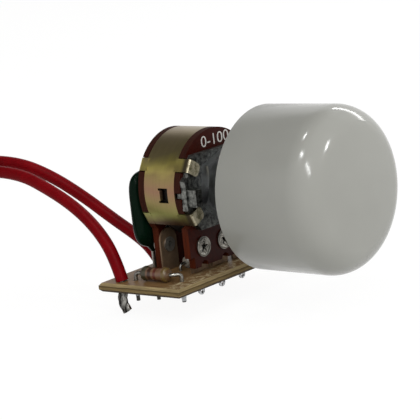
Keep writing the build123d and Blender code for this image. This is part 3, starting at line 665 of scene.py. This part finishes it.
# %% Films, rotor and packages
for name, size, codes, roughs, metal, where in (
    ("screened_carbon_film", 0.5, ("#141416", "#26262A"), (0.62, 0.48), 0.0, "carbon_track"),
    ("screened_silver_ink", 0.5, ("#8E8C86", "#BDBBB4"), (0.5, 0.36), 1.0, "switch_track"),
    ("black_phenolic_moulding", 0.8, ("#141312", "#211F1D"), (0.5, 0.38), 0.0, "rotor"),
    ("grey_glass_package", 1.2, ("#77736A", "#A39E93"), (0.16, 0.24), 0.0, "trigger_diac"),
    ("black_epoxy_moulding", 0.35, ("#161617", "#232325"), (0.6, 0.46), 0.0, "triac"),
):
    dress(cloudy_finish(name, size, codes, roughs, metal), where)

# %% [markdown]
# ## Circuit board
# The board is phenolic paper too, but the pale tan kind. Its flat faces are smooth and a little mottled,
# with pale torn spots on top along the front, where the slots were punched. Its bevelled edges show the
# pressed layers as pale and dark lines, and fine streaks run along them. The edges are also painted
# lighter toward the top and darker toward the bottom, as painted highlight and shade.

# %% Board faces
torn_rear, torn_front = 1.9 * MM, 0.4 * MM
tan_board = cloudy_finish("phenolic_paper_tan_board", 1.8, ("#5E4229", "#96754A"), detail=6.0, grain=0.66)
tree, place, mottle = tan_board.tree, tan_board.place, tan_board.cloud
by_front = fade(tan_board, "Y", torn_rear, torn_front)
wire(tree, by_front, {"To Max": fade(tan_board, "Z", 0.5, 0.9, source="Normal")})
torn = add(tree, "ShaderNodeTexNoise",
           {"Vector": place["Object"], "Scale": 1 / (0.9 * MM), "Detail": 6.0, "Roughness": 0.75})
torn_off = add(tree, "ShaderNodeMapRange",
               {"Value": torn, "To Max": by_front, "From Min": 0.5, "From Max": 0.58})
chipped = add(tree, "ShaderNodeMix",
              {"Factor": torn_off, FIRST: tan_board.tint, SECOND: "#C9BA95"}, data_type="RGBA")

# %% Board edges
on_edge = slope(tan_board, "Z", 0.98, 0.8)
spot = add(tree, "ShaderNodeSeparateXYZ", {0: place["Object"]}).outputs
ragged = add(tree, "ShaderNodeMapRange", {"Value": mottle, "To Min": -0.12 * MM, "To Max": 0.12 * MM})
ply = add(tree, "ShaderNodeMath", {0: spot["Z"], 1: ragged}, operation="ADD")
through = add(tree, "ShaderNodeMapRange", {"Value": ply, "From Min": board_low.z, "From Max": board_high.z})
# besides the layers, the edge runs from dark at the bottom to light at the top: painted shade and highlight
plies_and_painted_light = add(tree, "ShaderNodeValToRGB", {"Fac": through}, stops=(
    (0.0, "#382B19"), (0.24, "#4A3A23"), (0.32, "#83704B"), (0.56, "#76633F"),
    (0.64, "#463722"), (0.74, "#917E59"), (1.0, "#A08D65"),
))
along = add(tree, "ShaderNodeMapping", {"Vector": place["Object"], "Scale": (0.05, 0.05, 1.0)})
layers = add(tree, "ShaderNodeTexNoise",
             {"Vector": along, "Scale": 1 / (0.2 * MM), "Detail": 3.0, "Roughness": 0.6})
streak = add(tree, "ShaderNodeMapRange",
             {"Value": layers, "From Min": 0.3, "From Max": 0.7, "To Min": 0.6, "To Max": 1.25})
edge = add(tree, "ShaderNodeMix",
           {FIRST: plies_and_painted_light, SECOND: streak, "Factor": 1.0}, data_type="RGBA", blend_type="MULTIPLY")
both = add(tree, "ShaderNodeMix", {"Factor": on_edge, FIRST: chipped, SECOND: edge}, data_type="RGBA")
dry = add(tree, "ShaderNodeMapRange", {"Value": on_edge, "To Min": 0.42, "To Max": 0.72})
nap = add(tree, "ShaderNodeBump", {"Height": mottle, "Strength": 0.1, "Distance": 0.04 * MM})
wire(tree, tan_board.shader,
     {"Base Color": both, "Roughness": dry, "Normal": nap, "Specular IOR Level": 0.15})
dress(tan_board, "circuit_board")

# %% [markdown]
# ## Rolled rivets
# Hollow brass rivets hold the terminals. The tool splits the open end into a star and rolls it flat, so
# each shows a rim, a ring of petals and a dark five-pointed hole. A flat grid, rolled about an axis by a
# rule, gives that form. Geometry Nodes make one and set it on each rivet place, facing out of its wafer.

# %% Rolling helpers
def flat_grid(tree, columns, rows):
    """A grid one unit wide. Its columns become angles about Z, and its rows say how far along."""
    grid = add(tree, "GeometryNodeMeshGrid",
               {"Size X": 1.0, "Size Y": 1.0, "Vertices X": columns, "Vertices Y": rows})
    split = add(tree, "ShaderNodeSeparateXYZ", {0: add(tree, "GeometryNodeInputPosition")}).outputs
    around = add(tree, "ShaderNodeMapRange",
                 {"Value": split["X"], "From Min": -0.5, "From Max": 0.5, "To Max": 2 * pi})
    return grid, around, split["Y"]


def roll_up(tree, grid, around, radius, height, seam):
    """Rolls the grid about Z, welds it where it meets itself and turns its faces outward."""
    east = add(tree, "ShaderNodeMath", {0: around}, operation="COSINE")
    north = add(tree, "ShaderNodeMath", {0: around}, operation="SINE")
    out_x = add(tree, "ShaderNodeMath", {0: east, 1: radius}, operation="MULTIPLY")
    out_y = add(tree, "ShaderNodeMath", {0: north, 1: radius}, operation="MULTIPLY")
    spot = add(tree, "ShaderNodeCombineXYZ", {"X": out_x, "Y": out_y, "Z": height})
    rolled = add(tree, "GeometryNodeSetPosition", {"Geometry": grid, "Position": spot})
    welded = add(tree, "GeometryNodeMergeByDistance", {"Geometry": rolled, "Distance": seam})
    return add(tree, "GeometryNodeFlipFaces", {0: welded})


def set_out(tree, inside, shape, key, attribute):
    """Sets a copy on every point of the base, turned or scaled by a vector that the point carries."""
    carried = add(tree, "GeometryNodeInputNamedAttribute", {"Name": attribute}, data_type="FLOAT_VECTOR")
    return add(tree, "GeometryNodeInstanceOnPoints",
               {"Points": inside["Geometry"], "Instance": shape, key: carried})


# %% Rivet tree
# the first rows are the wall of the star hole, the next the rolled ring, and the last runs back beneath it
wall_rows, ring_rows, all_rows = 5, 25, 26
star_points, point_power, roll_power = 5, 3.0, 0.6
rivet_tree, inside = new_tree("star_rolled_rivets", {
    "Flare radius": 1.55 * MM, "Bore radius": 0.36 * MM, "Star reach": 0.62 * MM,
    "Rolled height": 0.34 * MM, "Bore depth": 0.9 * MM,
})
tree = rivet_tree
grid, around, up = flat_grid(tree, 101, all_rows + 1)
row = add(tree, "ShaderNodeMapRange", {"Value": up, "From Min": -0.5, "From Max": 0.5, "To Max": all_rows})
beat = add(tree, "ShaderNodeMath", {0: around, 1: star_points / 2}, operation="MULTIPLY")
wave = add(tree, "ShaderNodeMath", {0: beat}, operation="COSINE")
ridge = add(tree, "ShaderNodeMath", {0: wave}, operation="ABSOLUTE")
point = add(tree, "ShaderNodeMath", {0: ridge, 1: point_power}, operation="POWER")
star = add(tree, "ShaderNodeMath",
           {0: point, 1: inside["Star reach"], 2: inside["Bore radius"]}, operation="MULTIPLY_ADD")
rolled = add(tree, "ShaderNodeMapRange", {"Value": row, "From Min": wall_rows, "From Max": ring_rows})
under = add(tree, "ShaderNodeMapRange", {"Value": row, "From Min": ring_rows, "From Max": all_rows})
spread = add(tree, "ShaderNodeMapRange",
             {"Value": rolled, "To Min": star, "To Max": inside["Flare radius"]})
radius = add(tree, "ShaderNodeMapRange", {"Value": under, "To Min": spread, "To Max": star})
turn = add(tree, "ShaderNodeMath", {0: rolled, 1: 2 * pi}, operation="MULTIPLY")
swing = add(tree, "ShaderNodeMath", {0: turn}, operation="SINE")
bulge = add(tree, "ShaderNodeMath", {0: swing}, operation="ABSOLUTE")
soft = add(tree, "ShaderNodeMath", {0: bulge, 1: roll_power}, operation="POWER")
lift = add(tree, "ShaderNodeMath", {0: soft, 1: inside["Rolled height"]}, operation="MULTIPLY")
wall = add(tree, "ShaderNodeMapRange",
           {"Value": row, "From Max": wall_rows, "To Min": inside["Bore depth"], "To Max": 0.0})
sunk = add(tree, "ShaderNodeMath", {0: under, 1: inside["Bore depth"], 2: wall}, operation="MULTIPLY_ADD")
height = add(tree, "ShaderNodeMath", {0: lift, 1: sunk}, operation="SUBTRACT")
star_ring = roll_up(tree, grid, around, radius, height, seam=0.002 * MM)
end_tree(tree, inside, set_out(tree, inside, star_ring, "Rotation", "turn"))

# %% Rivets in place
def point_mesh(name, places, **vectors):
    """Bare points at places in mm, which carry the vectors given for them."""
    mesh = bpy.data.meshes.new(name)
    mesh.from_pydata([Vector(place) * MM for place in places], [], [])
    for key, values in vectors.items():
        layer = mesh.attributes.new(key, "FLOAT_VECTOR", "POINT")
        for item, value in zip(layer.data, values):
            item.vector = value
    return mesh


# the rear rivets stand in the shade, and their copy of the plating is less metallic so that they read
# lighter there, as painted light
for name, metal, where in (
    ("nickel_plated_brass_less_metallic", 0.7, "switch_rivets"),
    ("nickel_plated_brass", 1.0, "track_rivets"),
):
    rivet_plate = cloudy_finish(name, 0.6, ("#55524B", "#A29F97"), (0.38, 0.22), metal)
    dress(rivet_plate, where)

terminal_pitch = 5.0
proud = 0.001
rivet_low, rivet_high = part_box("track_rivets")
rivet_z = (rivet_low.z + rivet_high.z) / 2 / MM
front_face, rear_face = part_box("track_wafer")[0].y / MM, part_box("switch_wafer")[1].y / MM
for name, columns, depth, lean in (
    ("track_rivet_stars", (-1, 0, 1), front_face - proud, pi / 2),
    ("switch_rivet_stars", (-1, 1), rear_face + proud, -pi / 2),
):
    places = [(column * terminal_pitch, depth, rivet_z) for column in columns]
    seed = point_mesh(name, places, turn=[Vector((lean, 0.0, 0.0))] * len(places))
    finish_piece(grow(name, rivet_tree, seed, rivet_plate), "module", "rivet", None)

# %% [markdown]
# ## Dipped capacitor
# The capacitor was dipped in epoxy and hung to cure, so it is a flat pillow with no true edge, thicker
# at the middle, and the resin runs a little way down both legs. A rounded outline that swells by a rule
# gives that, and two soft bumps make the runs.

# %% Capacitor mesh
cap_low, cap_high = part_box("film_capacitor")
cap_middle, cap_half = (cap_low + cap_high) / 2, (cap_high - cap_low) / 2
cap_legs = (-4.9 * MM, 0.1 * MM)
cap_turns, cap_rings = 112, 22
corner_power, pillow_power, rim_power, run_power = 4.6, 3.4, 2.3, 6
run_length, run_width, run_depth = 1.1 * MM, 0.7 * MM, 0.9 * MM


def dipped_spot(face, share, angle):
    """A point of the pillow, from the middle of a face to the rim as share goes from 0 to 1."""
    square = (abs(cos(angle)) ** corner_power + abs(sin(angle)) ** corner_power) ** (-1 / corner_power)
    x = cap_half.x * share * cos(angle) * square
    y = face * cap_half.y * max(0.0, 1 - share**pillow_power) ** (1 / rim_power)
    z = cap_half.z * share * sin(angle) * square
    spot = cap_middle + Vector((x, y, z))
    for leg in cap_legs if z < 0 else ():
        near = exp(-((spot.x - leg) / run_width) ** 2) * exp(-(y / run_depth) ** 2)
        spot.z -= run_length * near * share**run_power
    return spot


cap_form = bmesh.new()
for face in (-1, 1):
    rows = []
    for k in range(cap_rings + 1):
        share = sin(pi / 2 * k / cap_rings)
        angles = [2 * pi * i / cap_turns for i in range(cap_turns if k else 1)]
        rows.append([cap_form.verts.new(dipped_spot(face, share, angle)) for angle in angles])
    skin_rings(cap_form, rows, cap_turns)
bmesh.ops.remove_doubles(cap_form, verts=cap_form.verts, dist=0.001 * MM)
capacitor = to_piece("dipped_capacitor", cap_form, sharp=80.0)

# %% [markdown]
# ## Epoxy dip
# The dip is dark green epoxy: wet gloss over slow waves a few millimetres long.

# %% Capacitor finish
green_epoxy = cloudy_finish("green_epoxy_dip", 3.5, ("#05120A", "#0A2014"), (0.12, 0.3),
                            detail=2.0, grain=0.5)
swell = add(green_epoxy.tree, "ShaderNodeBump",
            {"Height": green_epoxy.cloud, "Strength": 0.3, "Distance": 0.3 * MM})
wire(green_epoxy.tree, green_epoxy.shader, {"Normal": swell, "Specular IOR Level": 0.04})
finish_piece(capacitor, "module", "capacitor", green_epoxy.material, "film_capacitor")

# %% [markdown]
# ## Striped resistor
# The resistor is a ceramic rod with pressed end caps under a coat of lacquer, so it swells over the caps.
# A turned outline follows that. Its stripes are painted by depth along the body, as a stripe wheel does.

# %% Resistor mesh
resistor_low, resistor_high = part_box("timing_resistor")
resistor_middle = (resistor_low + resistor_high) / 2 / MM
half_length = (resistor_high.y - resistor_low.y) / 2 / MM
waist, cap_radius, wire_radius = 0.95, 1.15, 0.35
cap_at, cap_width = 2.0, 0.55
round_from, round_power, least_share = 2.05, 2.6, 0.12
bulb_steps = 24
bulb = [(0.0, -half_length), (wire_radius, -half_length)]
for i in range(1, bulb_steps + 1):
    depth = half_length * (2 * i / bulb_steps - 1)
    swell = exp(-(((abs(depth) - cap_at) / cap_width) ** 2))
    ends = 1 - max(0.0, (abs(depth) - round_from) / (half_length - round_from)) ** round_power
    bulb.append(((waist + (cap_radius - waist) * swell) * sqrt(max(ends, least_share)), depth))
bulb += [(wire_radius, half_length), (0.0, half_length)]
bulb_form = turn_outline(bulb, steps=40, centre=resistor_middle)
resistor = to_piece("lacquered_resistor", bulb_form, sharp=70.0)

# %% Resistor finish
lacquer = new_finish("resistor_lacquer_striped")
tree, place = lacquer.tree, lacquer.place
wobble = add(tree, "ShaderNodeTexNoise",
             {"Vector": place["Object"], "Scale": 1 / (0.8 * MM), "Detail": 3.0})
waver = add(tree, "ShaderNodeMapRange", {"Value": wobble, "To Min": -0.12 * MM, "To Max": 0.12 * MM})
spot = add(tree, "ShaderNodeSeparateXYZ", {0: place["Object"]}).outputs
shifted = add(tree, "ShaderNodeMath", {0: spot["Y"], 1: waver}, operation="ADD")
share = add(tree, "ShaderNodeMapRange",
            {"Value": shifted, "From Min": resistor_low.y, "From Max": resistor_high.y})
stripes = add(tree, "ShaderNodeValToRGB", {"Fac": share}, stops=(
    (0.0, "#664C31"), (0.05, "#68532A"), (0.17, "#74553D"), (0.4, "#5A2417"), (0.5, "#74553D"),
    (0.58, "#3B2216"), (0.7, "#664B37"), (0.76, "#3A3420"), (0.92, "#403828"),
))
stripes.color_ramp.interpolation = "CONSTANT"
dust = add(tree, "ShaderNodeMapRange", {"Value": wobble, "To Min": 0.8, "To Max": 1.12})
tone = add(tree, "ShaderNodeMix",
           {FIRST: stripes, SECOND: dust, "Factor": 1.0}, data_type="RGBA", blend_type="MULTIPLY")
wire(tree, lacquer.shader, {"Base Color": tone, "Roughness": 0.34})
finish_piece(resistor, "module", "resistor", lacquer.material, "timing_resistor")

# %% [markdown]
# ## Solder
# A good joint is a bright cone that hollows in toward its pin. The cones share one rule and differ only
# in width, so one tree makes a hollowed cone and sets a copy on every pad, scaled by that pad's radius.

# %% Solder tree
solder_tree, inside = new_tree("hollow_solder_cones", {"Joint height": 0.95 * MM, "Tip share": 0.42})
tree = solder_tree
# rows lie from -0.5 to 0.5, and the first and the last shrink to a point to close the base and the tip
wall_end, closed_from, flank_power = 0.4, 0.45, 2.4
grid, around, row = flat_grid(tree, 29, 11)
up = add(tree, "ShaderNodeMapRange",
         {"Value": row, "From Min": -wall_end, "From Max": wall_end, "To Min": 1.0, "To Max": 0.0})
hollow = add(tree, "ShaderNodeMath", {0: up, 1: flank_power}, operation="POWER")
spread = add(tree, "ShaderNodeMapRange", {"Value": hollow, "To Min": inside["Tip share"]})
off_middle = add(tree, "ShaderNodeMath", {0: row}, operation="ABSOLUTE")
on_wall = add(tree, "ShaderNodeMath", {0: off_middle, 1: closed_from}, operation="LESS_THAN")
radius = add(tree, "ShaderNodeMapRange", {"Value": on_wall, "To Max": spread})
down = add(tree, "ShaderNodeMath", {0: up, 1: 1.0}, operation="SUBTRACT")
height = add(tree, "ShaderNodeMath", {0: down, 1: inside["Joint height"]}, operation="MULTIPLY")
cone = roll_up(tree, grid, around, radius, height, seam=0.0001)
end_tree(tree, inside, set_out(tree, inside, cone, "Scale", "wide"))

# %% Solder in place
solder = cloudy_finish("tin_lead_solder", 0.5, ("#5E6062", "#C2C4C6"), (0.34, 0.14), metal=1.0,
                       detail=5.0, grain=0.65)
board_under = board_low.z / MM
track_pins, switch_pins, cap_pins, diac_pins, triac_pins = 2.35, 8.05, 11.45, 5.6, 10.7
pin_pads = {
    "lead_first": (-13.3, 10.9), "lead_second": (-3.2, 11.7),
    "resistor_front": (-10.9, 0.85), "resistor_rear": (-12.25, 8.95),
    "cap_left": (-4.9, cap_pins), "cap_right": (0.1, cap_pins),
    "diac_left": (-5.6, diac_pins), "diac_right": (1.0, diac_pins),
    "triac_front": (triac_pins, 4.13), "triac_gate": (triac_pins, 5.4), "triac_rear": (triac_pins, 6.67),
    "track_left": (-terminal_pitch, track_pins), "track_centre": (0.0, track_pins),
    "track_right": (terminal_pitch, track_pins),
    "switch_left": (-terminal_pitch, switch_pins), "switch_right": (terminal_pitch, switch_pins),
}
pad_radius = {name: 0.48 if name.startswith("triac") else 0.85 for name in pin_pads}
pad_radius.update(lead_first=0.95, cap_left=0.6)
# a drop of solder hangs at the front corner, where the board left the wave
joint_stretch = {name: 1.75 if name == "resistor_front" else 1.0 for name in pin_pads}
widths = [Vector((pad_radius[name] * MM, pad_radius[name] * MM, joint_stretch[name])) for name in pin_pads]
seed = point_mesh("pads", [(x, y, board_under) for x, y in pin_pads.values()], wide=widths)
finish_piece(grow("solder_cones", solder_tree, seed, solder), "module", "solder", None, "solder_joints")

# %% [markdown]
# ## Copper tracks
# The board's underside has copper tracks between the pads, cut with rounded corners. They follow paths,
# so one tree rounds each path and sweeps a flat strip along it, and another sets a round pad under every
# joint. Real copper is 0.035 mm thick, and it is drawn thicker so that its edge still shows.

# %% Track and pad trees
track_tree, inside = new_tree("copper_tracks", {
    "Track width": 1.2 * MM, "Copper thickness": 0.06 * MM, "Corner radius": 0.8 * MM,
})
rounded = add(track_tree, "GeometryNodeFilletCurve", {
    "Curve": inside["Geometry"], "Radius": inside["Corner radius"], "Count": 5, "Limit Radius": True,
}, mode="POLY")
strip = add(track_tree, "GeometryNodeCurvePrimitiveQuadrilateral",
            {"Width": inside["Track width"], "Height": inside["Copper thickness"]})
level = add(track_tree, "GeometryNodeSetCurveNormal", {"Curve": rounded}, mode="Z_UP")
lines = add(track_tree, "GeometryNodeCurveToMesh",
            {"Curve": level, "Profile Curve": strip, "Fill Caps": True})
end_tree(track_tree, inside, lines, smooth=False)

pad_tree, inside = new_tree("copper_pads", {"Pad to joint radius": 1.15, "Copper thickness": 0.09 * MM})
disc = add(pad_tree, "GeometryNodeMeshCylinder",
           {"Radius": inside["Pad to joint radius"], "Depth": inside["Copper thickness"], "Vertices": 32})
end_tree(pad_tree, inside, set_out(pad_tree, inside, disc, "Scale", "wide"), smooth=False)

# %% Copper in place
copper = cloudy_finish("etched_copper_lacquered", 1.5, ("#8A4E2C", "#C98A5E"), (0.48, 0.28), metal=1.0,
                       detail=5.0, grain=0.62)
half_copper, layer_step = 0.03, 0.002
copper_z = board_under - half_copper
track_paths = [
    ("lead_first", (-13.2, 9.6), "resistor_rear"),
    ("resistor_rear", (-10.9, 8.05), "switch_left"),
    ("resistor_front", (-9.4, 2.35), "track_left"),
    ("track_right", "track_centre"),
    ("track_centre", (-1.4, 3.0), (-3.9, 5.5), "diac_left"),
    ("diac_right", (3.0, 5.6), (8.4, 5.4), "triac_gate"),
    ("switch_right", (8.6, 8.05), (9.9, 6.9), "triac_rear"),
    ("lead_second", (-1.5, 11.6), "cap_right"),
    ("cap_right", (11.2, 11.45), (12.6, 10.0), (12.6, 4.9), (11.8, 4.1), "triac_front"),
    ("cap_left", (-6.5, 10.6), (-6.5, 9.3), "switch_left"),
]
routes = []
for count, steps in enumerate(track_paths):
    spots = [pin_pads[step] if isinstance(step, str) else step for step in steps]
    # each track lies a hair nearer the board than the last, so that no two share a plane where they meet
    routes.append([(x, y, copper_z + layer_step * count) for x, y in spots])
tracks = grow("copper_tracks", track_tree, path_curve("track_paths", routes, "POLY"), copper)
finish_piece(tracks, "module", None, None)
seed = point_mesh("pad_places", [(x, y, copper_z) for x, y in pin_pads.values()],
                  wide=[Vector((radius * MM, radius * MM, 1.0)) for radius in pad_radius.values()])
finish_piece(grow("copper_pads", pad_tree, seed, copper), "module", None, None)

# %% [markdown]
# ## Bush thread
# The bush is threaded for its nut. A thread is a helix, so a spiral curve with a small round section,
# half sunk in the bush, gives the turns between nut and clip.

# %% Thread
thread_tree, inside = new_tree("bush_thread", {
    "Bush radius": 3.48 * MM, "Threaded length": 5.2 * MM, "Pitch": 0.75 * MM, "Crest radius": 0.17 * MM,
})
tree = thread_tree
turns = add(tree, "ShaderNodeMath", {0: inside["Threaded length"], 1: inside["Pitch"]}, operation="DIVIDE")
helix = add(tree, "GeometryNodeCurveSpiral", {
    "Start Radius": inside["Bush radius"], "End Radius": inside["Bush radius"],
    "Height": inside["Threaded length"], "Rotations": turns, "Resolution": 56,
})
crest = add(tree, "GeometryNodeCurvePrimitiveCircle", {"Radius": inside["Crest radius"], "Resolution": 8})
ridge = add(tree, "GeometryNodeCurveToMesh", {"Curve": helix, "Profile Curve": crest, "Fill Caps": True})
laid = add(tree, "GeometryNodeInstanceOnPoints",
           {"Points": inside["Geometry"], "Instance": ridge, "Rotation": (pi / 2, 0.0, 0.0)})
end_tree(tree, inside, laid)
nut_gap = 0.12
thread_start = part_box("bush_nut")[0].y / MM - nut_gap
thread = grow("bush_thread", thread_tree, point_mesh("thread_start", [(0.0, thread_start, 0.0)]), die_cast)
finish_piece(thread, "module", "die_cast", None)

# %% [markdown]
# ## White print
# Makers screen a plain value on the wafer. Here it is the range of the dial, 0-100, in white ink. Text is
# made a mesh first, and then laid on the wafer's face, a hair proud of it.

# %% Print
ink = cloudy_finish("white_screen_ink", 0.25, ("#B9B5AE", "#EDEBE6"), detail=3.0, grain=0.5)
wire(ink.tree, ink.shader, {"Roughness": 0.6})
words = bpy.data.curves.new("dial_range", "FONT")
words.body = "0-100"
words.size = 1.0
words.offset = -0.004
words.extrude = 0.004
holder = bpy.data.objects.new("dial_range_seed", words)
scene_objects.link(holder)
depsgraph = bpy.context.evaluated_depsgraph_get()
print_mesh = bpy.data.meshes.new_from_object(holder.evaluated_get(depsgraph))
bpy.data.objects.remove(holder)

print_left, print_right, print_foot, print_head = -2.7, 3.9, 6.25, 7.95
ink_lift, ink_scale = 0.002, 1.5
xs = [vertex.co.x for vertex in print_mesh.vertices]
ys = [vertex.co.y for vertex in print_mesh.vertices]
for vertex in print_mesh.vertices:
    share_x = (vertex.co.x - min(xs)) / (max(xs) - min(xs))
    share_y = (vertex.co.y - min(ys)) / (max(ys) - min(ys))
    vertex.co = Vector((print_left + (print_right - print_left) * share_x,
                        front_face - (vertex.co.z + ink_lift) * ink_scale,
                        print_foot + (print_head - print_foot) * share_y)) * MM
finish_piece(bpy.data.objects.new("wafer_print", print_mesh), "module", None, ink.material)

# %% [markdown]
# ## Studio
# A pale table and soft light. The table looks white to the camera and in reflections, and still takes
# the object's soft shadow. One large lamp stands in front and another to the left. A narrow window
# strip and a few small lamps draw the glints on the knob's round edge. A dark scrim above, which only
# reflections see, gives the metal something dark to mirror, as photographers do with shiny things.

# %% Floor
WHITE = (1.0, 1.0, 1.0, 1.0)


def stage_piece(name, form, cloth):
    """Stands a piece of the studio in the scene, with an empty material to be filled."""
    mesh = bpy.data.meshes.new(name)
    form.to_mesh(mesh)
    form.free()
    material = bpy.data.materials.new(cloth)
    material.use_nodes = True
    material.node_tree.nodes.clear()
    mesh.materials.append(material)
    piece = bpy.data.objects.new(name, mesh)
    scene_objects.link(piece)
    print(name, "stands in the studio")
    return piece, material.node_tree


def seen_share(tree):
    """1 for what the eye sees, straight, mirrored or through a clear body, and 0 for plain lighting."""
    ray = add(tree, "ShaderNodeLightPath").outputs
    eye = add(tree, "ShaderNodeMath",
              {0: ray["Is Camera Ray"], 1: ray["Is Glossy Ray"]}, operation="MAXIMUM")
    return add(tree, "ShaderNodeMath", {0: eye, 1: ray["Is Transmission Ray"]}, operation="MAXIMUM")


table_half, table_glow = 3.0, 0.93
table_form = bmesh.new()
bmesh.ops.create_grid(table_form, x_segments=1, y_segments=1, size=table_half)
bmesh.ops.translate(table_form, verts=table_form.verts, vec=(0, 0, cad_box[0][2]))
_, tree = stage_piece("studio_table", table_form, "white_paper_sweep")
seen = seen_share(tree)
glow = add(tree, "ShaderNodeMath", {0: seen, 1: table_glow}, operation="MULTIPLY")
white = add(tree, "ShaderNodeEmission", {"Strength": glow, "Color": WHITE})
grey = add(tree, "ShaderNodeMix", {"Factor": seen, FIRST: "#DCDCDA", SECOND: "#595958"}, data_type="RGBA")
matt = add(tree, "ShaderNodeBsdfDiffuse", {"Color": grey})
both = add(tree, "ShaderNodeAddShader", {0: matt, 1: white})
add(tree, "ShaderNodeOutputMaterial", {0: both})

# %% World and lamps
world = bpy.data.worlds.new("white_studio")
bpy.context.scene.world = world
world.use_nodes = True
tree = world.node_tree
tree.nodes.clear()
level = add(tree, "ShaderNodeMapRange", {"Value": seen_share(tree), "To Min": 0.43, "To Max": 1.0})
sky = add(tree, "ShaderNodeBackground", {"Strength": level, "Color": WHITE})
add(tree, "ShaderNodeOutputWorld", {0: sky})


def hang_lamp(name, spot, size, power, along=(1.0, 0.0, 0.0)):
    """A flat lamp that faces the object, with its long side laid along a direction."""
    lamp = bpy.data.lights.new(name, "AREA")
    lamp.shape = "RECTANGLE"
    lamp.size, lamp.size_y = size
    lamp.energy = power
    back = Vector(spot).normalized()
    across = (Vector(along) - Vector(along).project(back)).normalized()
    turn = Matrix((across, back.cross(across), back)).transposed()
    holder = bpy.data.objects.new(name, lamp)
    holder.matrix_world = Matrix.Translation(spot) @ turn.to_4x4()
    scene_objects.link(holder)
    print("lamp", name, power, "W")
    return holder


key = hang_lamp("key_softbox", (0.2, -0.62, 0.38), (0.45, 0.45), 1.3)
fill = hang_lamp("fill_softbox", (-0.56, -0.44, 0.25), (0.6, 0.4), 1.4)
for lamp in (key, fill):
    lamp.visible_glossy = False
hang_lamp("window_strip", (0.524, -0.005, 0.292), (0.42, 0.05), 0.7, (0.29, -0.8, -0.52))
# each small lamp has a twin that only reflections see, so that its glint is strong and the tones stay
for name, spot, size, power, spark_power, along in (
    ("ceiling_tube", (-0.097, 0.024, 0.592), (0.08, 0.03), 0.2, 0.4, (1.0, 0.0, 0.0)),
    ("ceiling_panel", (-0.32, -0.15, 0.485), (0.09, 0.05), 0.3, 0.6, (0.0, 1.0, 0.0)),
    ("tall_tube", (-0.275, -0.453, 0.287), (0.24, 0.03), 0.35, 1.0, (0.144, -0.26, -0.273)),
    ("low_panel", (0.183, -0.517, 0.243), (0.08, 0.04), 0.22, 0.5, (0.3, 0.0, 1.0)),
):
    hang_lamp(name, spot, size, power, along)
    spark = hang_lamp(name + "_spark", spot, size, spark_power, along)
    spark.visible_diffuse = False

# %% Scrim
scrim_radius, scrim_way = 1.4, (-0.1, 0.46, 0.88)
scrim_edge, scrim_core = 0.62, 0.88
scrim_form = bmesh.new()
bmesh.ops.create_icosphere(scrim_form, subdivisions=4, radius=scrim_radius)
scrim, tree = stage_piece("dark_scrim", scrim_form, "grey_scrim_cloth")
place = add(tree, "ShaderNodeTexCoord").outputs
toward = add(tree, "ShaderNodeVectorMath", {0: place["Object"]}, operation="NORMALIZE")
near = add(tree, "ShaderNodeVectorMath", {0: toward, 1: scrim_way}, operation="DOT_PRODUCT")
dense = add(tree, "ShaderNodeMapRange",
            {"Value": near, "From Min": scrim_edge, "From Max": scrim_core}, interpolation_type="SMOOTHSTEP")
clear = add(tree, "ShaderNodeBsdfTransparent")
cloth = add(tree, "ShaderNodeBsdfDiffuse", {"Color": "#262420"})
mixed = add(tree, "ShaderNodeMixShader", {0: dense, 1: clear, 2: cloth})
add(tree, "ShaderNodeOutputMaterial", {0: mixed})
scrim.visible_camera = False
scrim.visible_diffuse = False
scrim.visible_shadow = False
